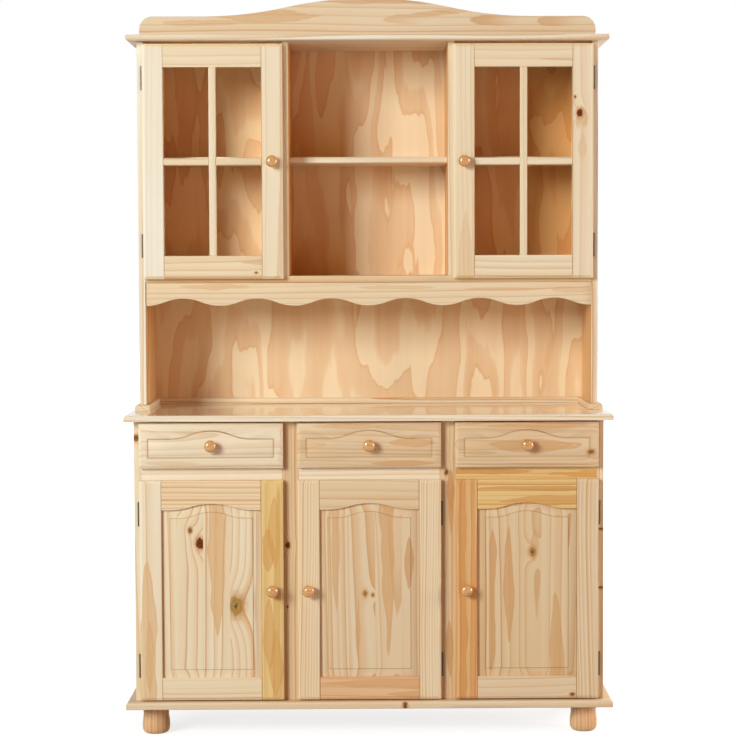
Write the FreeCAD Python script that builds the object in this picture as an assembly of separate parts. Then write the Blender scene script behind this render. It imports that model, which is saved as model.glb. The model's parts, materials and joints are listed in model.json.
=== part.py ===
import FreeCAD, Part
import math
import os

from FreeCAD import Vector

# A two-part pine dresser. A base on turned feet has three panelled doors under three drawers.
# On its worktop stands a hutch with two glazed doors, an open middle and a scalloped valance.
# X runs to the right, Y to the back and Z up. The origin is on the floor, under the middle
# of the whole outline with its knobs. All lengths are in millimetres.

# Carcass
carcass_width = 1268.0
base_depth = 400.0
base_height = 760.0
hutch_depth = 258.0
hutch_height = 998.0
board = 18.0

# Feet, plinth, worktop and cornice
foot_height = 77.0
foot_diameter = 75.0
foot_inset = 73.0
plinth_thickness = 19.0
worktop_thickness = 17.5
cornice_thickness = 16.0
ledge_overhang = 24.0
cornice_overhang = 27.0
ledge_front_overhang = 30.0
ledge_large_round = 7.0
ledge_small_round = 2.5

# Crown board
crown_width = 1258.0
crown_height = 104.5
crown_shoulder_height = 55.0
crown_corner_radius = 36.0
crown_sweep = 900.0
crown_setback = 20.0

# Front frame, drawers and doors
stile_width = 44.0
rail_height = 40.0
front_gap = 2.0
front_thickness = 18.0
overlay = 3.0
worktop_reveal = 4.0
drawer_front_height = 122.0
rail_reveal = 33.0
plinth_reveal = 4.0
bevel_width = 8.0
bevel_depth = 5.0

# Drawer boxes and their runners
drawer_length = 340.0
drawer_box_height = 95.0
drawer_wall = 12.0
drawer_bottom_thickness = 4.0
drawer_bottom_rise = 8.0
drawer_groove = 5.0
drawer_side_gap = 3.5
running_gap = 0.3
runner_height = 20.0
guide_height = 18.0

# The arched line cut into each drawer front
line_side_margin = 25.0
line_low_margin = 29.0
line_shoulder_drop = 43.0
line_rise = 22.0
line_flat = 58.0
line_width = 4.0
line_depth = 2.0

# Panelled base doors
door_stile_width = 60.0
door_low_rail = 62.0
door_top_rail = 80.0
door_arch_rise = 17.0
door_arch_flat = 22.0
panel_groove = 8.0
panel_tongue = 6.0
panel_play = 1.0
front_lip = 8.0
field_margin = 22.5
field_slope_rise = 4.5
field_step = 1.5

# Glazed hutch doors
glazed_stile_width = 58.0
glazed_rail_width = 64.0
glazed_floor_lap = 8.0
glazed_top_gap = 7.5
glass_rebate = 8.0
glass_thickness = 3.0
glass_play = 1.0
glazing_bar_width = 20.0
glazing_bar_edge = 2.5
tenon_length = 20.0
tenon_thickness = 5.0
tenon_shoulder = 10.0

# Hutch inside, valance and skirting
skirting_height = 16.0
skirting_width = 41.0
skirting_reach = 22.0
skirting_round = 5.0
skirting_back_depth = 35.0
hutch_floor_rise = 337.0
hutch_middle_width = 439.0
shelf_setback = 65.0
shelf_groove = 6.0
valance_height = 64.0
valance_scallop_depth = 20.0
valance_scallops = 6
valance_setback = 4.0

# Backs and base shelves
back_inset = 8.0
back_thickness = 5.0
back_groove = 7.0
back_play = 1.0
base_shelf_depth = 300.0
base_shelf_rise = 290.0
shelf_play = 1.0
cleat = 18.0
cleat_setback = 20.0

# Knobs
knob_reach = 28.0
knob_diameter = 33.0

# Hinges and magnet catches
hinge_length = 65.0
hinge_inset = 92.0
knuckle_radius = 2.5
knuckle_gap = 0.5
pin_radius = 1.2
leaf_thickness = 1.2
leaf_width = 24.0
leaf_return = 16.0
leaf_notch = 0.4
catch_width = 40.0
catch_height = 12.0
catch_depth = 16.0
catch_inset = 70.0
strike_thickness = 1.0

# Cuts run past the wood by this much, and two places closer than this are one
overrun = 5.0
same_place = 0.0001

# Turned profiles, from the floor or the drawer front outwards: shares of the radius and of the height.
# They are drawn with this many flats round the turn, and the slim hinge barrels with fewer
flats = 18
barrel_flats = 12
foot_profile_shares = (
    (0.64, 0),
    (0.88, 0.06),
    (0.99, 0.2),
    (1, 0.36),
    (0.92, 0.68),
    (0.95, 0.86),
    (0.94, 1),
)
knob_profile_shares = (
    (0.52, 0),
    (0.4, 0.2),
    (0.9, 0.42),
    (1, 0.62),
    (0.76, 0.89),
    (0.4, 1),
)

# Places that follow from the sizes above
overall_depth = base_depth + front_gap + front_thickness + knob_reach
y_back = overall_depth / 2
base_front = y_back - base_depth
hutch_front = y_back - hutch_depth
back_face = y_back - back_inset - back_thickness
half_carcass = carcass_width / 2
half_inside = half_carcass - board
plinth_bottom = foot_height
base_bottom = plinth_bottom + plinth_thickness
base_top = base_bottom + base_height
worktop_top = base_top + worktop_thickness
hutch_bottom = worktop_top + skirting_height
hutch_top = hutch_bottom + hutch_height
cornice_top = hutch_top + cornice_thickness
floor_bottom = hutch_bottom + hutch_floor_rise
floor_top = floor_bottom + board

bay_width = (2 * half_inside - 2 * stile_width) / 3
bay_pitch = bay_width + stile_width
front_width = bay_width + 2 * overlay
drawer_top = base_top - worktop_reveal
drawer_low = drawer_top - drawer_front_height
door_top = drawer_low - rail_reveal
door_low = base_bottom + plinth_reveal
rail_middle = (drawer_low + door_top) / 2
rail_top = rail_middle + rail_height / 2
rail_low = rail_middle - rail_height / 2
base_shelf_low = base_bottom + base_shelf_rise

half_middle = hutch_middle_width / 2
glazed_outer = half_inside + overlay
glazed_inner = half_middle + board - overlay
glazed_low = floor_top - glazed_floor_lap
glazed_top = hutch_top - glazed_top_gap
glazed_centre = (glazed_outer + glazed_inner) / 2
glazed_half = (glazed_outer - glazed_inner) / 2
shelf_middle = (floor_top + hutch_top) / 2

bays = (("left", -bay_pitch), ("centre", 0), ("right", bay_pitch))
# The outer doors hang on the sides, and the middle one on the right-hand stile
base_hinge_sides = {"left": -1, "centre": 1, "right": 1}


def slab(x0, x1, y0, y1, z0, z1):
    return Part.makeBox(x1 - x0, y1 - y0, z1 - z0, Vector(x0, y0, z0))


def mirrored(shape):
    return shape.mirror(Vector(0, 0, 0), Vector(1, 0, 0))


def rectangle(x0, x1, z0, z1, y):
    corners = [Vector(x0, y, z0), Vector(x1, y, z0), Vector(x1, y, z1), Vector(x0, y, z1)]
    return Part.makePolygon(corners + corners[:1])


def line(x0, z0, x1, z1, y):
    return Part.makeLine(Vector(x0, y, z0), Vector(x1, y, z1))


def arc(start, middle, end):
    return Part.Arc(start, middle, end).toShape()


def ogee_curve(x_middle, half, z_low, rise, y):
    """Three tangent arcs that leave the level, swell by the rise in the middle and come back."""
    radius = (half * half + rise * rise) / (4 * rise)
    foot_lift = radius - math.sqrt(radius * radius - half * half / 16)
    low_left = Vector(x_middle - half, y, z_low)
    foot_left = Vector(x_middle - half * 3 / 4, y, z_low + foot_lift)
    turn_left = Vector(x_middle - half / 2, y, z_low + rise / 2)
    crest = Vector(x_middle, y, z_low + rise)
    turn_right = Vector(x_middle + half / 2, y, z_low + rise / 2)
    foot_right = Vector(x_middle + half * 3 / 4, y, z_low + foot_lift)
    low_right = Vector(x_middle + half, y, z_low)
    return [
        arc(low_left, foot_left, turn_left),
        arc(turn_left, crest, turn_right),
        arc(turn_right, foot_right, low_right),
    ]


def ogee_outline(x_middle, half, z_far, z_shoulder, rise, flat, y):
    """A straight-sided outline, level at z_far, with an ogee along its z_shoulder edge."""
    left = x_middle - half
    right = x_middle + half
    edges = [
        line(left, z_far, left, z_shoulder, y),
        line(left, z_shoulder, left + flat, z_shoulder, y),
        *ogee_curve(x_middle, half - flat, z_shoulder, rise, y),
        line(right - flat, z_shoulder, right, z_shoulder, y),
        line(right, z_shoulder, right, z_far, y),
        line(right, z_far, left, z_far, y),
    ]
    return Part.Wire(edges)


def ruled(low_wire, high_wire):
    return Part.makeLoft([low_wire, high_wire], True, True)


def extruded(wire, depth):
    return Part.Face(wire).extrude(Vector(0, depth, 0))


def flat_face(points):
    return Part.Face(Part.makePolygon(points + points[:1]))


def turned(profile_shares, radius, height, centre, direction, across):
    """A profile taken round the line that leaves centre in the given direction, flat by flat."""
    beside = direction.cross(across)
    rings = []
    for radius_share, height_share in profile_shares:
        ring = []
        for index in range(flats):
            turn = 2 * math.pi * index / flats
            outward = across * math.cos(turn) + beside * math.sin(turn)
            ring.append(centre + direction * (height * height_share) + outward * (radius * radius_share))
        rings.append(ring)
    faces = [flat_face(rings[0]), flat_face(rings[-1])]
    for low, high in zip(rings, rings[1:]):
        for index in range(flats):
            faces.append(flat_face([low[index - 1], low[index], high[index], high[index - 1]]))
    return Part.makeSolid(Part.makeShell(faces))


def edges_on(shape, x=None, y=None, z=None):
    """The straight edges that lie wholly on the given planes."""

    def near(want, place):
        return want is None or math.isclose(want, place, abs_tol=same_place)

    found = []
    for edge in shape.Edges:
        box = edge.BoundBox
        spans = ((x, box.XMin, box.XMax), (y, box.YMin, box.YMax), (z, box.ZMin, box.ZMax))
        if all(near(want, low) and near(want, high) for want, low, high in spans):
            found.append(edge)
    return found


def ledge(half_width, y_front, z0, z1, z_large):
    """A board with its front and ends rounded, more on the face at z_large."""
    plank = slab(-half_width, half_width, y_front, y_back, z0, z1)
    z_small = z0 if z_large == z1 else z1
    for z, radius in ((z_large, ledge_large_round), (z_small, ledge_small_round)):
        edges = edges_on(plank, y=y_front, z=z)
        edges += edges_on(plank, x=-half_width, z=z) + edges_on(plank, x=half_width, z=z)
        plank = plank.makeFillet(radius, edges)
    return plank


def front_blank(x0, x1, z0, z1, y_front):
    """A door or drawer front with its four face edges bevelled."""
    y_bevel = y_front + bevel_depth
    body = slab(x0, x1, y_bevel, y_front + front_thickness, z0, z1)
    face = rectangle(x0 + bevel_width, x1 - bevel_width, z0 + bevel_width, z1 - bevel_width, y_front)
    return body.fuse(ruled(rectangle(x0, x1, z0, z1, y_bevel), face)).removeSplitter()


def knob(x, y_front, z):
    place = Vector(x, y_front, z)
    outward = Vector(0, -1, 0)
    return turned(knob_profile_shares, knob_diameter / 2, knob_reach, place, outward, Vector(1, 0, 0))


def foot(x, y):
    place = Vector(x, y, 0)
    upward = Vector(0, 0, 1)
    return turned(foot_profile_shares, foot_diameter / 2, foot_height, place, upward, Vector(1, 0, 0))


def feet():
    x = half_carcass + ledge_overhang - foot_inset
    rows = (base_front - ledge_front_overhang + foot_inset, y_back - foot_inset)
    return [foot(side * x, y) for side in (-1, 1) for y in rows]


def carcass_side(depth, z0, z1):
    """The right-hand side of base or hutch, grooved near its rear edge for the back panel."""
    side = slab(half_inside, half_carcass, y_back - depth, y_back, z0, z1)
    groove = slab(
        half_inside - overrun,
        half_inside + back_groove,
        back_face,
        back_face + back_thickness,
        z0 - overrun,
        z1 + overrun,
    )
    return side.cut(groove)


def back_panel(z0, z1):
    half = half_inside + back_groove - back_play
    return slab(-half, half, back_face, back_face + back_thickness, z0, z1)


def base_divider():
    x = bay_pitch / 2
    return slab(x - board / 2, x + board / 2, base_front + board, back_face, base_bottom, base_top)


def base_stile():
    x = bay_pitch / 2
    half = stile_width / 2
    return slab(x - half, x + half, base_front, base_front + board, base_bottom, base_top)


def bay_walls(name, middle):
    """The two faces that close a base bay behind the front frame."""
    left = -half_inside if name == "left" else middle - bay_pitch / 2 + board / 2
    right = half_inside if name == "right" else middle + bay_pitch / 2 - board / 2
    return left, right


def drawer_rail(middle):
    half = bay_width / 2
    return slab(middle - half, middle + half, base_front, base_front + board, rail_low, rail_top)


def drawer_runner(wall, bay_edge, inward):
    """A strip under one drawer side, with a guide on it where the wall lies behind the frame."""
    end = bay_edge + inward * (drawer_side_gap + drawer_wall)
    y0 = base_front + board
    low, high = sorted((wall, end))
    strips = [slab(low, high, y0, back_face, rail_top - runner_height, rail_top)]
    if not math.isclose(wall, bay_edge):
        low, high = sorted((wall, bay_edge))
        strips.append(slab(low, high, y0, back_face, rail_top, rail_top + guide_height))
    return strips


def drawer_runners():
    runners = []
    for name, middle in bays:
        left, right = bay_walls(name, middle)
        runners += drawer_runner(left, middle - bay_width / 2, 1)
        runners += drawer_runner(right, middle + bay_width / 2, -1)
    return runners


def base_shelf(name, middle):
    left, right = bay_walls(name, middle)
    y0 = back_face - base_shelf_depth
    z0 = base_shelf_low
    return slab(left + shelf_play, right - shelf_play, y0, back_face, z0, z0 + board)


def shelf_cleats():
    strips = []
    y0 = back_face - base_shelf_depth + cleat_setback
    for name, middle in bays:
        left, right = bay_walls(name, middle)
        for x0, x1 in ((left, left + cleat), (right - cleat, right)):
            strips.append(slab(x0, x1, y0, back_face, base_shelf_low - cleat, base_shelf_low))
    return strips


def hutch_skirting():
    outer = (half_inside + half_carcass + skirting_width) / 2
    inner = outer - skirting_width
    front = hutch_front - skirting_reach
    strip = slab(inner, outer, front, y_back, worktop_top, hutch_bottom)
    edges = []
    for place in ({"x": inner}, {"x": outer}, {"y": front}):
        edges += edges_on(strip, z=hutch_bottom, **place)
    right = strip.makeFillet(skirting_round, edges)
    rear_front = y_back - skirting_back_depth
    rear = slab(-inner, inner, rear_front, y_back, worktop_top, hutch_bottom)
    rear = rear.makeFillet(skirting_round, edges_on(rear, y=rear_front, z=hutch_bottom))
    return [mirrored(right), right, rear]


def shelf_slot(x, inward):
    """The stopped groove that takes one end of a hutch shelf."""
    low, high = sorted((x, x - inward * shelf_groove))
    y0 = hutch_front + shelf_setback
    return slab(low, high, y0, back_face, shelf_middle - board / 2, shelf_middle + board / 2)


def hutch_side():
    return carcass_side(hutch_depth, hutch_bottom, hutch_top).cut(shelf_slot(half_inside, -1))


def hutch_divider():
    panel = slab(half_middle, half_middle + board, hutch_front, back_face, floor_top, hutch_top)
    return panel.cut(shelf_slot(half_middle, -1)).cut(shelf_slot(half_middle + board, 1))


def hutch_shelves():
    y0 = hutch_front + shelf_setback
    z0 = shelf_middle - board / 2
    half = half_middle + shelf_groove
    inner = half_middle + board - shelf_groove
    right = slab(inner, half_inside + shelf_groove, y0, back_face, z0, z0 + board)
    return [mirrored(right), slab(-half, half, y0, back_face, z0, z0 + board), right]


def hutch_floor():
    return slab(-half_inside, half_inside, hutch_front, back_face, floor_bottom, floor_top)


def crown():
    """A board with rounded ends and a long ogee up to its middle."""
    y = hutch_front + crown_setback
    half = crown_width / 2
    flat_end = crown_sweep / 2
    shoulder = cornice_top + crown_shoulder_height
    turn = crown_corner_radius
    bend = turn * (1 - math.sqrt(1 / 2))

    def corner(side):
        low = Vector(side * half, y, shoulder - turn)
        between = Vector(side * (half - bend), y, shoulder - bend)
        high = Vector(side * (half - turn), y, shoulder)
        return arc(low, between, high) if side < 0 else arc(high, between, low)

    edges = [
        line(-half, cornice_top, -half, shoulder - turn, y),
        corner(-1),
        line(-half + turn, shoulder, -flat_end, shoulder, y),
        *ogee_curve(0, flat_end, shoulder, crown_height - crown_shoulder_height, y),
        line(flat_end, shoulder, half - turn, shoulder, y),
        corner(1),
        line(half, shoulder - turn, half, cornice_top, y),
        line(half, cornice_top, -half, cornice_top, y),
    ]
    return extruded(Part.Wire(edges), board)


def valance():
    """The scalloped board under the hutch floor, with a low point at each end."""
    y = hutch_front + valance_setback
    low = floor_bottom - valance_height
    half_pitch = half_inside / valance_scallops
    edges = []
    for index in range(valance_scallops):
        middle = half_pitch * (2 * index + 1) - half_inside
        edges += ogee_curve(middle, half_pitch, low, valance_scallop_depth, y)
    edges += [
        line(half_inside, low, half_inside, floor_bottom, y),
        line(half_inside, floor_bottom, -half_inside, floor_bottom, y),
        line(-half_inside, floor_bottom, -half_inside, low, y),
    ]
    return extruded(Part.Wire(edges), board)


def drawer_front(middle):
    """A bevelled front with an arched line cut into its face."""
    y = base_front - front_gap - front_thickness
    half = front_width / 2
    blank = front_blank(middle - half, middle + half, drawer_low, drawer_top, y)

    def outline(offset, y_plane):
        return ogee_outline(
            middle,
            half - line_side_margin + offset,
            drawer_low + line_low_margin - offset,
            drawer_top - line_shoulder_drop + offset,
            line_rise,
            line_flat + offset,
            y_plane,
        )

    reach = line_width / 2 * (1 + overrun / line_depth)
    bottom = outline(0, y + line_depth)
    outer = ruled(outline(reach, y - overrun), bottom)
    inner = ruled(outline(-reach, y - overrun), bottom)
    return blank.cut(outer.cut(inner))


def drawer_box(middle):
    """Two grooved sides, a bottom slid into them and a back that stands on it."""
    y0 = base_front - front_gap
    y1 = y0 + drawer_length
    low = rail_top + running_gap
    high = low + drawer_box_height
    outer = bay_width / 2 - drawer_side_gap
    inner = outer - drawer_wall
    bottom_low = low + drawer_bottom_rise
    bottom_high = bottom_low + drawer_bottom_thickness
    half_bottom = inner + drawer_groove
    bottom = slab(middle - half_bottom, middle + half_bottom, y0, y1, bottom_low, bottom_high)
    back = slab(middle - inner, middle + inner, y1 - drawer_wall, y1, bottom_high, high)
    walls = []
    for x0, x1 in ((-outer, -inner), (inner, outer)):
        walls.append(slab(middle + x0, middle + x1, y0, y1, low, high).cut(bottom))
    return walls + [back, bottom]


def hinge_places(low, high):
    middles = (low + hinge_inset, high - hinge_inset)
    return [middle - hinge_length / 2 for middle in middles]


def pivot(edge, side, carcass_front):
    """Where a hinge pin stands: beside the door's outer edge and ahead of the carcass."""
    off = knuckle_radius + knuckle_gap
    return edge + side * off, carcass_front - off


def barrel(centre, radius, z0, z1):
    """An upright bar with a few flats, which touch a round of this radius."""
    reach = radius / math.cos(math.pi / barrel_flats)
    corners = []
    for index in range(barrel_flats):
        turn = 2 * math.pi * index / barrel_flats
        corners.append(Vector(centre[0] + reach * math.cos(turn), centre[1] + reach * math.sin(turn), z0))
    return flat_face(corners).extrude(Vector(0, 0, z1 - z0))


def hinge_pin(edge, side, carcass_front, z0):
    x, y = pivot(edge, side, carcass_front)
    return Part.makeCylinder(pin_radius, hinge_length, Vector(x, y, z0))


def frame_leaf(edge, side, carcass_front, z0):
    """The fixed half of a hinge: a leaf bent round the carcass's edge, and the outer knuckles."""
    centre = pivot(edge, side, carcass_front)
    inside = edge - side * overlay
    far = inside - side * leaf_thickness
    rear = carcass_front + leaf_return
    ahead = carcass_front - leaf_thickness
    corners = [
        (centre[0], carcass_front),
        (inside, carcass_front),
        (inside, rear),
        (far, rear),
        (far, ahead),
        (centre[0], ahead),
    ]
    wire = Part.makePolygon([Vector(x, y, z0) for x, y in corners + corners[:1]])
    leaf = Part.Face(wire).extrude(Vector(0, 0, hinge_length))
    third = hinge_length / 3
    low, high = sorted((centre[0] + side * overrun, centre[0] - side * (knuckle_radius + leaf_notch)))
    leaf = leaf.cut(slab(low, high, ahead, carcass_front, z0 + third, z0 + 2 * third))
    for low, high in ((z0, z0 + third), (z0 + 2 * third, z0 + hinge_length)):
        leaf = leaf.fuse(barrel(centre, knuckle_radius, low, high))
    return leaf.removeSplitter().cut(barrel(centre, pin_radius, z0, z0 + hinge_length))


def leaf_bed(edge, side, door_back, z0):
    """The place in a door's rear face that the moving leaf fills."""
    low, high = sorted((edge, edge - side * leaf_width))
    return slab(low, high, door_back - leaf_thickness, door_back, z0, z0 + hinge_length)


def door_leaf(edge, side, carcass_front, z0):
    """The moving half of a hinge: a leaf let into the door and the middle knuckle."""
    door_back = carcass_front - front_gap
    centre = pivot(edge, side, carcass_front)
    third = hinge_length / 3
    low = z0 + third + running_gap
    high = z0 + 2 * third - running_gap
    low_x, high_x = sorted((centre[0], edge))
    bridge = slab(low_x, high_x, door_back - leaf_thickness, door_back, low, high)
    leaf = leaf_bed(edge, side, door_back, z0).fuse(bridge)
    leaf = leaf.fuse(barrel(centre, knuckle_radius, low, high)).removeSplitter()
    return leaf.cut(barrel(centre, pin_radius + running_gap, low, high))


def base_door_frame(middle, side):
    """Two stiles and two rails round a panel. The top rail's lower edge is an ogee."""
    y = base_front - front_gap - front_thickness
    y_rear = y + front_thickness
    half = front_width / 2
    opening = half - door_stile_width
    blank = front_blank(middle - half, middle + half, door_low, door_top, y)
    groove_y = (y + front_lip, y + front_lip + panel_tongue)
    low_top = door_low + door_low_rail
    shoulder = door_top - door_top_rail
    groove_top = shoulder + door_arch_rise + panel_groove
    groove_low = low_top - panel_groove
    groove_half = opening + panel_groove
    stiles = []
    for x0, x1 in ((-half, -opening), (opening, half)):
        stile = slab(middle + x0, middle + x1, y, y_rear, door_low, door_top).common(blank)
        groove_ends = (door_low - overrun, door_top + overrun)
        stiles.append(stile.cut(slab(middle - groove_half, middle + groove_half, *groove_y, *groove_ends)))
    for z0 in hinge_places(door_low, door_top):
        hung = 0 if side < 0 else 1
        stiles[hung] = stiles[hung].cut(leaf_bed(middle + side * half, side, y_rear, z0))
    arch = ogee_outline(middle, opening, door_top, shoulder, door_arch_rise, door_arch_flat, y)
    top = extruded(arch, front_thickness).common(blank)
    top = top.cut(slab(middle - half, middle + half, *groove_y, shoulder - overrun, groove_top))
    low = slab(middle - opening, middle + opening, y, y_rear, door_low, low_top).common(blank)
    low = low.cut(slab(middle - half, middle + half, *groove_y, groove_low, low_top + overrun))
    rails = []
    for rail, z0, z1 in ((top, groove_top, door_top), (low, door_low, groove_low)):
        tenons = slab(middle - groove_half, middle + groove_half, *groove_y, z0, z1)
        rails.append(rail.fuse(tenons).removeSplitter())
    return stiles + rails


def base_door_panel(middle):
    """A raised panel. Its field follows the arch, and a bevel runs down to the tongue."""
    y = base_front - front_gap - front_thickness + front_lip
    opening = front_width / 2 - door_stile_width
    low_top = door_low + door_low_rail
    shoulder = door_top - door_top_rail
    reach = panel_groove - panel_play
    tongue = slab(
        middle - opening - reach,
        middle + opening + reach,
        y,
        y + panel_tongue,
        low_top - reach,
        shoulder + door_arch_rise + reach,
    )

    def outline(inset, y_plane):
        half = opening - inset
        high = shoulder - inset
        return ogee_outline(middle, half, low_top + inset, high, door_arch_rise, door_arch_flat, y_plane)

    slope_top = y - field_slope_rise
    slope = ruled(outline(panel_play, y), outline(field_margin - field_step, slope_top))
    field = extruded(outline(field_margin, slope_top), -field_step)
    return tongue.fuse(slope).fuse(field).removeSplitter()


def glazed_frame(middle, side):
    """Two stiles with two rails tenoned between them, all rebated at the rear for the glass."""
    y = hutch_front - front_gap - front_thickness
    y_rear = y + front_thickness
    half = glazed_half
    opening = half - glazed_stile_width
    blank = front_blank(middle - half, middle + half, glazed_low, glazed_top, y)
    z_low = glazed_low + glazed_rail_width
    z_high = glazed_top - glazed_rail_width
    rebate = slab(
        middle - opening - glass_rebate,
        middle + opening + glass_rebate,
        y + front_thickness / 2,
        y_rear + overrun,
        z_low - glass_rebate,
        z_high + glass_rebate,
    )
    rails = []
    for z0, z1 in ((glazed_low, z_low), (z_high, glazed_top)):
        rail = slab(middle - opening, middle + opening, y, y_rear, z0, z1).common(blank).cut(rebate)
        tenon = slab(
            middle - opening - tenon_length,
            middle + opening + tenon_length,
            y + front_thickness / 2 - tenon_thickness,
            y + front_thickness / 2,
            z0 + tenon_shoulder,
            z1 - tenon_shoulder,
        )
        rails.append(rail.fuse(tenon).removeSplitter())
    stiles = []
    for x0, x1 in ((-half, -opening), (opening, half)):
        stile = slab(middle + x0, middle + x1, y, y_rear, glazed_low, glazed_top).common(blank).cut(rebate)
        for rail in rails:
            stile = stile.cut(rail)
        stiles.append(stile)
    for z0 in hinge_places(glazed_low, glazed_top):
        hung = 0 if side < 0 else 1
        stiles[hung] = stiles[hung].cut(leaf_bed(middle + side * half, side, y_rear, z0))
    return stiles + rails


def glazing_bars(middle):
    """An upright bar and two short cross bars in front of the glass, eased along their faces."""
    y = hutch_front - front_gap - front_thickness
    y_rear = y + front_thickness / 2
    opening = glazed_half - glazed_stile_width
    z_low = glazed_low + glazed_rail_width
    z_high = glazed_top - glazed_rail_width
    half = glazing_bar_width / 2
    z_middle = (z_low + z_high) / 2
    upright = slab(middle - half, middle + half, y, y_rear, z_low, z_high)
    edges = edges_on(upright, x=middle - half, y=y) + edges_on(upright, x=middle + half, y=y)
    bars = [upright.makeChamfer(glazing_bar_edge, edges)]
    for x0, x1 in ((-opening, -half), (half, opening)):
        bar = slab(middle + x0, middle + x1, y, y_rear, z_middle - half, z_middle + half)
        edges = edges_on(bar, y=y, z=z_middle - half) + edges_on(bar, y=y, z=z_middle + half)
        bars.append(bar.makeChamfer(glazing_bar_edge, edges))
    return bars


def pane_half_sizes():
    half_width = glazed_half - glazed_stile_width + glass_rebate
    half_height = (glazed_top - glazed_low) / 2 - glazed_rail_width + glass_rebate
    return half_width, half_height


def pane(middle):
    y = hutch_front - front_gap - front_thickness / 2
    half_width, half_height = pane_half_sizes()
    z_middle = (glazed_low + glazed_top) / 2
    wide = half_width - glass_play
    high = half_height - glass_play
    return slab(middle - wide, middle + wide, y, y + glass_thickness, z_middle - high, z_middle + high)


def glass_beads(middle):
    """Four strips in the rebate that hold the glass from behind."""
    y0 = hutch_front - front_gap - front_thickness / 2 + glass_thickness
    y1 = hutch_front - front_gap
    half_width, half_height = pane_half_sizes()
    z_middle = (glazed_low + glazed_top) / 2
    inner = half_width - glass_rebate
    beads = []
    for x0, x1 in ((-half_width, -inner), (inner, half_width)):
        beads.append(slab(middle + x0, middle + x1, y0, y1, z_middle - half_height, z_middle + half_height))
    for z0, z1 in ((-half_height, glass_rebate - half_height), (half_height - glass_rebate, half_height)):
        beads.append(slab(middle - inner, middle + inner, y0, y1, z_middle + z0, z_middle + z1))
    return beads


def strike(x, carcass_front, z0):
    y = carcass_front - front_gap
    return slab(x - catch_width / 2, x + catch_width / 2, y, y + strike_thickness, z0, z0 + catch_height)


def catch(x, carcass_front, z0):
    """A magnet block whose face meets the door's strike plate."""
    y = carcass_front - front_gap + strike_thickness + running_gap
    return slab(x - catch_width / 2, x + catch_width / 2, y, y + catch_depth, z0, z0 + catch_height)


def save(node, *solids):
    shape = solids[0] if len(solids) == 1 else Part.makeCompound(list(solids))
    shape.exportStep("parts/" + node + ".step")


def save_pair(node, right):
    save(node + "_left", mirrored(right))
    save(node + "_right", right)


def save_base():
    save("feet", *feet())
    half_ledge = half_carcass + ledge_overhang
    y_ledge = base_front - ledge_front_overhang
    save("plinth", ledge(half_ledge, y_ledge, plinth_bottom, base_bottom, base_bottom))
    save("worktop", ledge(half_ledge, y_ledge, base_top, worktop_top, worktop_top))
    save_pair("base_side", carcass_side(base_depth, base_bottom, base_top))
    save_pair("base_divider", base_divider())
    save("base_stiles", mirrored(base_stile()), base_stile())
    save("drawer_rails", *[drawer_rail(middle) for name, middle in bays])
    save("drawer_runners", *drawer_runners())
    save("base_shelves", *[base_shelf(name, middle) for name, middle in bays])
    save("shelf_cleats", *shelf_cleats())
    save("base_back", back_panel(base_bottom, base_top))


def save_hutch():
    save("hutch_skirting", *hutch_skirting())
    save_pair("hutch_side", hutch_side())
    save_pair("hutch_divider", hutch_divider())
    save("hutch_floor", hutch_floor())
    save("hutch_shelves", *hutch_shelves())
    save("hutch_back", back_panel(hutch_bottom, hutch_top))
    y_cornice = hutch_front - ledge_front_overhang
    save("cornice", ledge(half_carcass + cornice_overhang, y_cornice, hutch_top, cornice_top, hutch_top))
    save("crown", crown())
    save("valance", valance())


def save_drawers():
    y = base_front - front_gap - front_thickness
    for name, middle in bays:
        save("drawer_" + name + "_front", drawer_front(middle))
        save("drawer_" + name + "_box", *drawer_box(middle))
        save("drawer_" + name + "_knob", knob(middle, y, (drawer_low + drawer_top) / 2))


def save_doors():
    """Each door, with the fixed hinge halves, pins and catches that the carcass carries for it."""
    frame_leaves = []
    pins = []
    catches = []

    def hang(door, edge, side, carcass_front, places, catch_x, catch_z):
        fittings = [door_leaf(edge, side, carcass_front, z0) for z0 in places]
        save(door + "_fittings", *fittings, strike(catch_x, carcass_front, catch_z))
        frame_leaves.extend(frame_leaf(edge, side, carcass_front, z0) for z0 in places)
        pins.extend(hinge_pin(edge, side, carcass_front, z0) for z0 in places)
        catches.append(catch(catch_x, carcass_front, catch_z))

    y = base_front - front_gap - front_thickness
    places = hinge_places(door_low, door_top)
    for name, middle in bays:
        door = "base_door_" + name
        side = base_hinge_sides[name]
        knob_x = middle - side * (front_width - door_stile_width) / 2
        catch_x = middle - side * (bay_width / 2 - catch_inset)
        save(door + "_frame", *base_door_frame(middle, side))
        save(door + "_panel", base_door_panel(middle))
        save(door + "_knob", knob(knob_x, y, (door_low + door_top) / 2))
        edge = middle + side * front_width / 2
        hang(door, edge, side, base_front, places, catch_x, rail_low - catch_height)
    y = hutch_front - front_gap - front_thickness
    places = hinge_places(glazed_low, glazed_top)
    for name, side in (("left", -1), ("right", 1)):
        door = "hutch_door_" + name
        middle = side * glazed_centre
        knob_x = side * (glazed_inner + glazed_stile_width / 2)
        catch_x = side * (half_middle + board + catch_inset)
        save(door + "_frame", *glazed_frame(middle, side))
        save(door + "_bars", *glazing_bars(middle))
        save(door + "_glass", pane(middle))
        save(door + "_beads", *glass_beads(middle))
        save(door + "_knob", knob(knob_x, y, (glazed_low + glazed_top) / 2))
        hang(door, side * glazed_outer, side, hutch_front, places, catch_x, floor_top)
    save("hinge_frame_leaves", *frame_leaves)
    save("hinge_pins", *pins)
    save("door_catches", *catches)


os.makedirs("parts", exist_ok=True)
save_base()
save_hutch()
save_drawers()
save_doors()
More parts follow.
